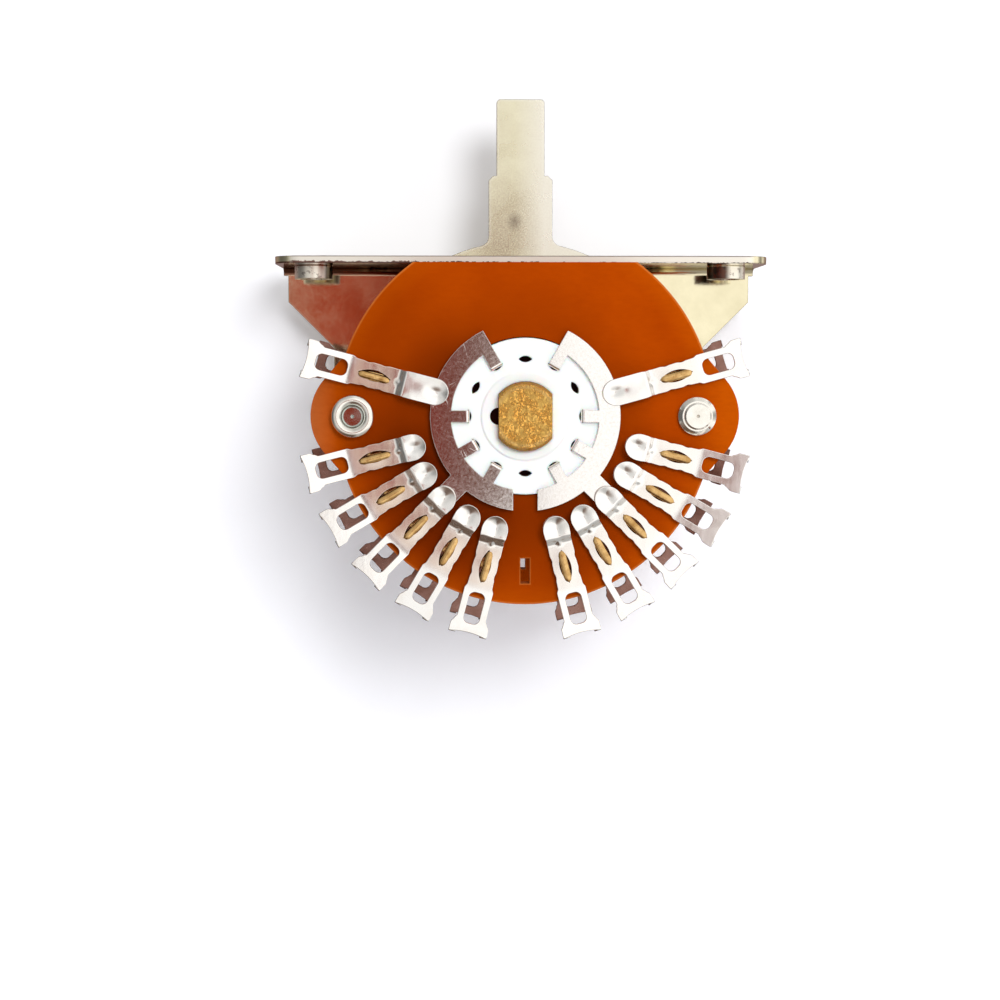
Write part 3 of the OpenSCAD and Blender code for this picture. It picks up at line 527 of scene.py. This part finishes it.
def with_word(*words):
    return [n for n in nodes if any(w in n for w in words)]


clips = with_word("_common_", "_throw_")
dress(plated_steel(), ["bracket"] + with_word("_spacer_"))
dress(post_nickel(), with_word("post_"))
dress(lever_steel(), ["lever"])
dress(blade_silver(), with_word("_blade_"))
dress(lower_silver(), with_word("_lower_leaves"))
dress(shaft_brass(), ["shaft"])
dress(spring_steel(), ["shaft_retainer", "detent_spring", "detent_balls"])
dress(laminate(), with_word("_wafer"))
dress(white_nylon(), with_word("_rotor"))


# Contact clips
# A clip's own frame, in millimetres: x outwards from the shaft, y across, z towards the front
TIP_R = {"common": 7.35, "throw": 9.5}
LEAF_T = 0.25
# Height of the leaf's underside over the wafer at its tip and at its lug, and the step between them
TIP_LOW = 0.80
LUG_LOW = 0.25
CREASE = (11.45, 12.2)
STAPLE_R = 14.35
OPENING_L = 3.1
OPENING_W = {"left": 1.02, "right": 1.06}
# The wire window: inner and outer end, half width and corner radius
WINDOW = (16.9, 19.85, 0.75, 0.55)
LUG_END = 20.95
EAR_HALF = 1.825
EAR_HOLLOW = 0.24
NOSE_L = 1.35
NOSE_LIFT = 0.26
SPOON_L = 0.9
SPOON_DISH = 0.08
DIMPLE_AT = 1.1
DIMPLE_SIDE = 0.08
DIMPLE_DEPTH = 0.18
DART_AT = 12.1
DART_RISE = 0.14
OPENING_RISE = 0.03
# The small tabs bent back at the lug's corners: their width, their place along the clip and behind
# it, and the chamfer at their ends
TAB_W = 0.68
TAB_X = (LUG_END - 0.24, LUG_END - 0.02)
TAB_Z = (LUG_LOW + 0.2, LUG_LOW - 0.42, LUG_LOW - 0.5)
TAB_CHAMFER = 0.05
# Where the lug's bend starts and how long it is, and how far the lug leans to the front, in degrees
LUG_BEND = (16.3, 0.6)
LEAN_BENT = 4.4
LEAN_STRAIGHT = -1.0
# The last throw on each side whose lug is bent to the front
LAST_BENT = {"left": 3, "right": 2}
# Small differences from clip to clip, in degrees
YAW = 0.7
LEAN = 0.4
# Radius of the rounded edges of the outline, the opening and the window
EDGE_R = (0.06, 0.035, 0.06)
# Distances between points along the outline and over the leaf: in a row, from row to row, and from
# the outline, with the number of columns on each side of the middle
STEP = 0.12
GRID = 0.18
GRID_ROW = GRID * 0.866
GRID_CLEAR = GRID * 0.6
GRID_HALF = 12
# Radius and half width along a clip, from behind the nose to the end
SIDE = [(10.85, 1.23), (11.3, 1.22), (11.6, 1.18), (11.9, 1.2), (12.3, 1.17), (13.1, 1.19), (13.6, 1.1),
        (14.0, 1.16), (14.6, 1.18), (15.15, 1.09), (15.6, 1.17), (16.2, 1.19), (16.65, 1.37), (19.3, 1.37),
        (19.6, 1.55), (20.05, 1.8), (20.2, EAR_HALF)]


def ease(t):
    t = min(max(t, 0.0), 1.0)
    return t * t * (3 - 2 * t)


def half_width(x):
    for (x0, w0), (x1, w1) in zip(SIDE, SIDE[1:]):
        if x <= x1:
            return w0 + (w1 - w0) * ease((x - x0) / (x1 - x0))
    return SIDE[-1][1]


def clip_edge(tip_r):
    """The clip's outline, once round, counterclockwise seen from the front."""
    nose = tip_r + NOSE_L
    side = []
    nose_steps = 15
    for i in range(1, nose_steps):
        angle = pi / 2 * i / nose_steps
        side.append((nose - NOSE_L * cos(angle), SIDE[0][1] * sin(angle)))
    x = nose
    while x < SIDE[-1][0]:
        side.append((x, half_width(max(x, SIDE[0][0]))))
        x += STEP
    side.append((LUG_END - 0.35, EAR_HALF))
    side.append((LUG_END - 0.08, EAR_HALF))
    end = []
    steps = 22
    for i in range(1, steps):
        y = EAR_HALF * (1 - 2 * i / steps)
        end.append((LUG_END - EAR_HOLLOW * (1 - (y / EAR_HALF) ** 2), y))
    low = [(x, -y) for x, y in side]
    return [(tip_r, 0.0)] + low + [(x, -y) for x, y in end] + side[::-1]


def lens_edge(length, width, steps=14):
    """A lens about the staple, clockwise, because it is a hole."""
    radius = (length * length + width * width) / (4 * width)
    half = atan2(length / 2, radius - width / 2)
    points = []
    for side in (1, -1):
        for i in range(steps):
            angle = half * (1 - 2 * i / steps)
            across = radius * cos(angle) - radius + width / 2
            points.append((STAPLE_R - side * radius * sin(angle), side * across))
    return points


def window_edge():
    """The wire window, clockwise, with points close enough together to follow the bent lug."""
    low, high, half, corner = WINDOW
    corner_steps = 6
    points = []
    for cx, cy, start in ((high - corner, half - corner, 90), (high - corner, corner - half, 0),
                          (low + corner, corner - half, -90), (low + corner, half - corner, 180)):
        for i in range(corner_steps + 1):
            angle = radians(start - 90 * i / corner_steps)
            points.append((cx + corner * cos(angle), cy + corner * sin(angle)))
    dense = []
    for (x0, y0), (x1, y1) in zip(points, points[1:] + points[:1]):
        count = max(1, round(hypot(x1 - x0, y1 - y0) / (2 * STEP)))
        dense += [(x0 + (x1 - x0) * i / count, y0 + (y1 - y0) * i / count) for i in range(count)]
    return dense


def away(loop):
    """For each point of a loop, the way out of the metal and how much further a corner reaches."""
    ways = []
    for i, (x, y) in enumerate(loop):
        x0, y0 = loop[i - 1]
        x1, y1 = loop[(i + 1) % len(loop)]
        a = Vector((x - x0, y - y0)).normalized()
        b = Vector((x1 - x, y1 - y)).normalized()
        way = (a + b).normalized()
        ways.append((way.y, -way.x, 1 / max(0.5, sqrt(max(0.0, (1 + a.dot(b)) / 2)))))
    return ways


def inset(loop, amount):
    """The loop moved into the metal by an amount, point by point."""
    return [(x - out_x * amount * reach, y - out_y * amount * reach)
            for (x, y), (out_x, out_y, reach) in zip(loop, away(loop))]


def inside(point, loop):
    """Whether a point lies inside a loop, by the crossings of a line from it."""
    x, y = point
    odd = False
    for (x0, y0), (x1, y1) in zip(loop, loop[1:] + loop[:1]):
        if (y0 > y) != (y1 > y) and x < x0 + (y - y0) / (y1 - y0) * (x1 - x0):
            odd = not odd
    return odd


def hump(distance, spread):
    return exp(-(distance / spread) ** 2)


def leaf_height(x, y, tip_r):
    """Underside of the upper leaf: a dished spoon with a lifted nose and a pressed dimple, a step
    with a small dart, a faint rise round the opening, and the lug."""
    z = TIP_LOW + (LUG_LOW - TIP_LOW) * ease((x - CREASE[0]) / (CREASE[1] - CREASE[0]))
    spoon = 1 - ease((x - CREASE[0] + SPOON_L) / SPOON_L)
    z += SPOON_DISH * spoon * (y / 1.2) ** 2
    z += NOSE_LIFT * max(0.0, (tip_r + SPOON_L - x) / SPOON_L) ** 2
    z -= DIMPLE_DEPTH * hump(x - tip_r - DIMPLE_AT, 0.75) * hump(y - DIMPLE_SIDE, 0.42)
    z += DART_RISE * hump(x - DART_AT, 0.2) * hump(y, 0.22)
    z += OPENING_RISE * hump(x - STAPLE_R, 1.3) * hump(y, 0.8)
    return z


def leaf_normal(x, y, tip_r):
    """Upward normal of the upper leaf, from the slopes of its height."""
    h = 0.01
    slope_x = (leaf_height(x + h, y, tip_r) - leaf_height(x - h, y, tip_r)) / (2 * h)
    slope_y = (leaf_height(x, y + h, tip_r) - leaf_height(x, y - h, tip_r)) / (2 * h)
    return Vector((-slope_x, -slope_y, 1)).normalized()


def leaf_triangles(skins, tip_r):
    """Points and triangles over the metal between the outline and its holes, and the place of each
    point of the skins' loops among them."""
    flat, edges, rings = [], [], []
    for loop in skins:
        first = len(flat)
        flat += loop
        ring = list(range(first, first + len(loop)))
        edges += zip(ring, ring[1:] + ring[:1])
        rings.append(ring)
    near = KDTree(len(flat))
    for i, (x, y) in enumerate(flat):
        near.insert((x, y, 0), i)
    near.balance()

    def metal(point):
        return inside(point, skins[0]) and not any(inside(point, hole) for hole in skins[1:])

    for row in range(int((LUG_END - tip_r) / GRID_ROW) + 1):
        for column in range(-GRID_HALF, GRID_HALF + 1):
            spot = (tip_r + row * GRID_ROW, (column + 0.5 * (row % 2)) * GRID)
            if metal(spot) and near.find((*spot, 0))[2] > GRID_CLEAR:
                flat.append(spot)
    points, _, faces, origin, _, _ = delaunay_2d_cdt([Vector(q) for q in flat], edges, [], 1, 1e-6)
    place = {old: new for new, olds in enumerate(origin) for old in olds}
    kept = [face for face in faces if metal(sum((points[i] for i in face), Vector((0, 0))) / 3)]
    return points, kept, [[place[i] for i in ring] for ring in rings]


def leaf_mesh(tip_r, opening_w):
    """Points, faces and normals of one clip: two skins over the same triangles, joined by rounded edges."""
    loops = [clip_edge(tip_r), lens_edge(OPENING_L, opening_w), window_edge()]
    skins = [inset(loop, radius) for loop, radius in zip(loops, EDGE_R)]
    points, kept, rings = leaf_triangles(skins, tip_r)
    count = len(points)
    verts = [(q.x, q.y, leaf_height(q.x, q.y, tip_r) + LEAF_T) for q in points]
    verts += [(q.x, q.y, leaf_height(q.x, q.y, tip_r)) for q in points]
    normals = [leaf_normal(q.x, q.y, tip_r) for q in points]
    normals += [-normal for normal in normals]
    shape = [tuple(face) for face in kept]
    shape += [tuple(i + count for i in reversed(face)) for face in kept]
    turn = 1 - sqrt(0.5)
    for loop, ring, radius in zip(loops, rings, EDGE_R):
        levels = [ring]
        outs = [Vector((out_x, out_y, 0)) for out_x, out_y, _ in away(loop)]
        for share, drop, side in ((turn, turn, 1), (0.0, 1.0, 1), (0.0, 1.0, -1), (turn, turn, -1)):
            lift = LEAF_T - radius * drop if side > 0 else radius * drop
            line = inset(loop, radius * share)
            levels.append(edge_row(verts, line, tip_r, lift))
            for (x, y), out in zip(line, outs):
                up = leaf_normal(x, y, tip_r) * side * (1 if share else 0)
                normals.append((out + up).normalized())
        levels.append([i + count for i in ring])
        for upper, lower in zip(levels, levels[1:]):
            size = len(upper)
            for i in range(size):
                j = (i + 1) % size
                shape.append((upper[i], lower[i], lower[j], upper[j]))
    return verts, shape, normals


def edge_row(verts, loop, tip_r, lift):
    """Adds a loop of points at a height over the leaf's underside."""
    first = len(verts)
    verts += [(x, y, leaf_height(x, y, tip_r) + lift) for x, y in loop]
    return list(range(first, first + len(loop)))


def add_tab(verts, shape, side):
    """The small tab bent back at a corner of the lug's T."""
    y0, y1 = sorted((side * EAR_HALF * 0.99, side * (EAR_HALF - TAB_W)))
    x0, x1 = TAB_X
    first = len(verts)
    for z, cut in zip(TAB_Z, (0, 0, TAB_CHAMFER)):
        verts += [(x0 + cut, y0 + cut, z), (x1 - cut, y0 + cut, z),
                  (x1 - cut, y1 - cut, z), (x0 + cut, y1 - cut, z)]
    for level in (first, first + 4):
        for i in range(4):
            j = (i + 1) % 4
            shape.append((level + 4 + i, level + 4 + j, level + j, level + i))
    shape.append(tuple(first + 8 + i for i in range(4))[::-1])
    shape.append(tuple(first + i for i in range(4)))


def to_world(point, deck, angle):
    """From a clip's own frame to the row frame, in metres."""
    x, y, z = point
    c, s = cos(angle), sin(angle)
    return Vector((x * c - y * s, FACE_Y[deck] - z, x * s + y * c - SHAFT_DROP)) * MM


def way_in_world(way, angle):
    """A direction in a clip's own frame, turned into the row frame."""
    x, y, z = way
    c, s = cos(angle), sin(angle)
    return Vector((x * c - y * s, -z, x * s + y * c))


def add_piece(name, verts, faces, material, body, normals=None):
    """A smooth-shaded piece that rides on a body, with the slot that names its finish."""
    mesh = bpy.data.meshes.new(name)
    mesh.from_pydata([tuple(v) for v in verts], [], faces)
    mesh.update()
    for face in mesh.polygons:
        face.use_smooth = True
    if normals:
        mesh.normals_split_custom_set_from_vertices(normals)
    mesh.materials.append(material)
    piece = bpy.data.objects.new(name, mesh)
    bpy.context.scene.collection.objects.link(piece)
    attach(piece, body)
    return piece


def clip_angle(name):
    """The clip's direction from the shaft: the commons 15 degrees above the ears, the throws below."""
    parts = name.split("_")
    turn = 15 * int(parts[3]) if parts[1] == "throw" else -15
    return radians(180 + turn if parts[2] == "left" else -turn)


def lug_tilt(name):
    """How far the lug leans to the front: the left common and the first throws were bent by hand."""
    _, kind, side = name.split("_")[:3]
    if kind == "common":
        bent = side == "left"
    else:
        bent = int(name[-1]) <= LAST_BENT[side]
    return radians(LEAN_BENT if bent else LEAN_STRAIGHT)


def lean(x):
    """Distance past the lug's rounded bend, and the share of the bend made so far."""
    start, bend = LUG_BEND
    if x < start:
        return 0.0, 0.0
    if x < start + bend:
        return (x - start) ** 2 / (2 * bend), (x - start) / bend
    return x - start - bend / 2, 1.0


def make_clips(materials):
    """The formed clips, which replace the plain ones."""
    shapes = {(kind, side): leaf_mesh(TIP_R[kind], OPENING_W[side]) for kind in TIP_R for side in OPENING_W}
    for number, name in enumerate(clips):
        deck, kind, hand = name.split("_")[:3]
        verts, shape, ways = [list(part) for part in shapes[kind, hand]]
        for side in (-1, 1):
            add_tab(verts, shape, side)
        ways += [Vector((0, 0, 0))] * (len(verts) - len(ways))
        yaw = radians(YAW) * sin(2.1 * number + 0.5)
        tilt = lug_tilt(name) + radians(LEAN) * sin(3.7 * number + 1.0)
        turn = clip_angle(name)
        placed, normals = [], []
        for (x, y, z), way in zip(verts, ways):
            lift, share = lean(x)
            dx = x - STAPLE_R
            leaned = (STAPLE_R + dx * cos(yaw) - y * sin(yaw), dx * sin(yaw) + y * cos(yaw), z + tilt * lift)
            placed.append(to_world(leaned, deck, turn))
            tipped = Vector((way.x - tilt * share * way.z, way.y, way.z + tilt * share * way.x))
            normals.append(way_in_world(tipped, turn + yaw))
        metal = materials[name]
        piece = add_piece(name + "_formed", placed, shape, metal, "frame", normals)
        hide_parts(name)


# Staples, in the clip's own frame
STAPLE_HALF_W = {"left": 0.35, "right": 0.4}
# How far the staple lies beside the middle of the opening
STAPLE_SHIFT = {"left": 0.14, "right": -0.04}
STAPLE_HALF_L = 1.5
STAPLE_BASE = 0.42
STAPLE_RISE = 0.24
SHANK_HALF_L = 0.53
FOOT_TOP = -1.6
FOOT_RISE = 0.3
FOOT_HALF_L = 1.55
CROWN_STEPS = 8
BAR_STEPS = 22


def bar_shape(verts, shape, half_l, sides, base, rise):
    """A crowned bar along x: its flat side at base, its round side rise above (or below) it."""
    first = len(verts)
    ring = CROWN_STEPS + 1
    for i in range(BAR_STEPS + 1):
        x = -half_l * cos(pi * i / BAR_STEPS)
        low, high = sides(x)
        crown = rise * (1 - (x / half_l) ** 8) ** 0.5
        for j in range(ring):
            turn = pi * j / CROWN_STEPS
            y = (low + high) / 2 - (high - low) / 2 * cos(turn)
            verts.append((STAPLE_R + x, y, base + crown * sin(turn)))
    for i in range(BAR_STEPS):
        here, there = first + i * ring, first + (i + 1) * ring
        for j in range(ring):
            k = (j + 1) % ring
            face = (here + j, here + k, there + k, there + j)
            shape.append(face if rise < 0 else face[::-1])


def add_block(verts, shape, low, high):
    """A plain shank between the bridge and the foot."""
    first = len(verts)
    verts += [(x, y, z) for z in (low[2], high[2]) for x, y in
              ((low[0], low[1]), (high[0], low[1]), (high[0], high[1]), (low[0], high[1]))]
    shape += [tuple(first + i for i in face) for face in
              ((3, 2, 1, 0), (4, 5, 6, 7), (0, 1, 5, 4), (1, 2, 6, 5), (2, 3, 7, 6), (3, 0, 4, 7))]


def staple_shape(side):
    """One staple: a crowned bridge in the clip's opening, beside its middle, a shank and a foot."""
    half_w, shift = STAPLE_HALF_W[side], STAPLE_SHIFT[side]

    def sides(half_l):
        def at(x):
            half = half_w * (1 - (x / half_l) ** 6) ** 0.5
            return shift - half, shift + half
        return at

    verts, shape = [], []
    bar_shape(verts, shape, STAPLE_HALF_L, sides(STAPLE_HALF_L), STAPLE_BASE, STAPLE_RISE)
    bar_shape(verts, shape, FOOT_HALF_L, sides(FOOT_HALF_L), FOOT_TOP, -FOOT_RISE)
    half = half_w * 0.7
    add_block(verts, shape, (STAPLE_R - SHANK_HALF_L, shift - half, FOOT_TOP - 0.05),
              (STAPLE_R + SHANK_HALF_L, shift + half, STAPLE_BASE + 0.05))
    return verts, shape


def make_staples(material):
    """All staples of a wafer in one piece, which replaces the plain ones."""
    for deck in FACE_Y:
        verts, shape = [], []
        for name in clips:
            where, _, side = name.split("_")[:3]
            if where != deck:
                continue
            points, faces = staple_shape(side)
            first = len(verts)
            verts += [to_world(point, deck, clip_angle(name)) for point in points]
            shape += [tuple(i + first for i in face) for face in faces]
        piece = add_piece(deck + "_staples_formed", verts, shape, material, "frame")
        piece.data.set_sharp_from_angle(angle=radians(50))
        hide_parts(deck + "_staples")


FRONT_METAL = silvered()
# The rear clips' dark brown is painted shade and reflection
REAR_METAL = shaded_silver("silvered_rear_clips", rgb(0.2, 0.095, 0.07), rgb(0.33, 0.19, 0.16))
make_clips({name: FRONT_METAL if name.startswith("front") else REAR_METAL for name in clips})
make_staples(staple_brass())


# Rotors: radii of the dark ring of painted shade and its depths behind the wafer's face, in mm
CORE_R = (2.3, 5.95)
CORE_DEPTH = (1.2, 1.3)
CORE_SIDES = 48


def make_cores(material):
    """A thin dark ring of painted shade inside each rotor, which closes the slits and the notch beside the
    shaft.
    """
    for deck, face in FACE_Y.items():
        verts, shape = [], []
        for depth in CORE_DEPTH:
            for radius in CORE_R:
                for i in range(CORE_SIDES):
                    turn = 2 * pi * i / CORE_SIDES
                    x, z = radius * cos(turn), radius * sin(turn) - SHAFT_DROP
                    verts.append(Vector((x, face + depth, z)) * MM)
        for i in range(CORE_SIDES):
            j = (i + 1) % CORE_SIDES
            for a, b in ((0, 1), (1, 3), (3, 2), (2, 0)):
                a, b = a * CORE_SIDES, b * CORE_SIDES
                shape.append((a + i, b + i, b + j, a + j))
        piece = add_piece(deck + "_slit_shade", verts, shape, material, "lever_set")
        piece.data.set_sharp_from_angle(angle=radians(40))


make_cores(slit_shade())


# Stage
def sweep_profile():
    """Points of wall, curve and floor, as (Y, Z), from the top of the wall to the floor's front."""
    points = [(WALL_Y, WALL_TOP)]
    for step in range(SWEEP_STEPS + 1):
        angle = pi / 2 * step / SWEEP_STEPS
        points.append((WALL_Y - SWEEP_R + SWEEP_R * cos(angle), FLOOR_Z + SWEEP_R - SWEEP_R * sin(angle)))
    points.append((FLOOR_FRONT, FLOOR_Z))
    return points


def make_stage():
    """A wall close behind the object, which curves down to a floor far below it."""
    points = sweep_profile()
    verts = [(x, y, z) for y, z in points for x in (-STAGE_HALF, STAGE_HALF)]
    faces = [(2 * i, 2 * i + 2, 2 * i + 3, 2 * i + 1) for i in range(len(points) - 1)]
    mesh = bpy.data.meshes.new("sweep")
    mesh.from_pydata(verts, [], faces)
    mesh.update()
    for face in mesh.polygons:
        face.use_smooth = True
    sweep = bpy.data.objects.new("sweep", mesh)
    bpy.context.scene.collection.objects.link(sweep)
    mesh.materials.append(paper())


def paper():
    """White paper: seen from its back it isn't there, it casts no shadow on the object, and it isn't
    mirrored in the metal."""
    s = Shader("paper")
    rays = s.node("LightPath").outputs
    back = s.node("NewGeometry").outputs["Backfacing"]
    unseen = s.maths("MAXIMUM", rays["Is Glossy Ray"], rays["Is Shadow Ray"])
    hidden = s.maths("MAXIMUM", back, unseen)
    diffuse = s.node("BsdfDiffuse", {"Color": PAPER})
    glow = s.node("Emission", {"Color": rgb(1, 1, 1), "Strength": s.times(rays["Is Camera Ray"], PAPER_GLOW)})
    both = s.node("AddShader", {0: diffuse.outputs[0], 1: glow.outputs[0]})
    clear = s.node("BsdfTransparent")
    mixed = s.node("MixShader", {0: hidden, 1: both.outputs[0], 2: clear.outputs[0]})
    s.link(mixed.outputs[0], s.output.inputs["Surface"])
    return s.material


# Light
def add_lamp(name, place_mm, size_mm, watts):
    """A round lamp that points at the object and isn't mirrored in its metal."""
    data = bpy.data.lights.new(name, "AREA")
    data.shape = "DISK"
    data.size = size_mm * MM
    data.energy = watts
    lamp = bpy.data.objects.new(name, data)
    bpy.context.scene.collection.objects.link(lamp)
    lamp.location = Vector(place_mm) * MM
    lamp.rotation_euler = (AIM - lamp.location).to_track_quat("-Z", "Y").to_euler()
    lamp.visible_glossy = False


def make_world():
    """A pale room, brightest in front and to the right, dark behind and at its far sides, with a
    dark red-brown patch straight in front of the object. The camera itself sees white."""
    world = bpy.data.worlds.new("room")
    bpy.context.scene.world = world
    world.use_nodes = True
    w = Nodes(world.node_tree)
    axes = w.node("SeparateXYZ", {0: w.node("TexCoord").outputs["Generated"]}).outputs
    x, y, z = axes["X"], axes["Y"], axes["Z"]
    rays = w.node("LightPath").outputs

    sides = w.ramp(w.scaled(x, 0.0, 1.0, -1.0, 1.0),
                   [((at + 1) / 2, rgb(level, level, level)) for at, level in ROOM_SIDES])
    low = w.eased(z, ROOM_BELOW, 1.0, *BELOW_RANGE)
    high = w.eased(z, 1.0, ROOM_ABOVE, *ABOVE_RANGE)
    matt = w.eased(rays["Is Glossy Ray"], ROOM_MATT, 1.0, 0.0, 1.0)
    level = w.times(w.times(low, high), matt)

    room = w.mix(1.0, ROOM_COLOUR, sides, "MULTIPLY")
    clothes = w.times(w.eased(x, 1.0, 0.0, *LOW_RIGHT), w.eased(z, 1.0, 0.0, *LOW_TOP))
    room = w.mix(clothes, room, LOW_COLOUR)
    room = w.mix(w.eased(y, 0.0, 1.0, *BEHIND_RANGE), room, BEHIND_COLOUR)
    across = w.times(w.eased(x, 0.0, 1.0, *PATCH_LEFT), w.eased(x, 1.0, 0.0, *PATCH_RIGHT))
    height = w.maths("ABSOLUTE", z)
    upright = w.times(w.eased(height, 1.0, 0.0, *PATCH_TOP), w.eased(y, 1.0, 0.0, *PATCH_FRONT))
    patch = w.ramp(w.scaled(x, 0.0, 1.0, *PATCH_SPAN), PATCH_COLOURS)
    room = w.mix(w.times(across, upright), room, patch)

    lit = w.node("Background", {"Color": room, "Strength": level})
    white = w.node("Background", {"Color": rgb(1, 1, 1), "Strength": 1.0})
    seen = w.node("MixShader", {0: rays["Is Camera Ray"], 1: lit.outputs[0], 2: white.outputs[0]})
    w.node("OutputWorld", {"Surface": seen.outputs[0]})


def make_camera():
    """The photograph's view: turned a little to the right and tipped a little down."""
    level = cos(CAMERA_TILT)
    forward = Vector((sin(CAMERA_PAN) * level, cos(CAMERA_PAN) * level, sin(CAMERA_TILT)))
    right = Vector((cos(CAMERA_PAN), -sin(CAMERA_PAN), 0))
    up = right.cross(forward)
    data = bpy.data.cameras.new("camera")
    data.lens = CAMERA_LENS
    data.sensor_width = SENSOR
    data.clip_start = 5 * MM
    data.clip_end = 5
    camera = bpy.data.objects.new("camera", data)
    bpy.context.scene.collection.objects.link(camera)
    turn = Matrix((right, up, -forward)).transposed()
    camera.matrix_world = Matrix.Translation(CAMERA_PLACE) @ turn.to_4x4()
    bpy.context.scene.camera = camera


make_stage()
make_world()
make_camera()
for lamp_name, (place, size, watts) in LAMPS.items():
    add_lamp(lamp_name, place, size, watts)

bpy.context.scene.view_settings.view_transform = "Standard"

bpy.context.view_layer.update()
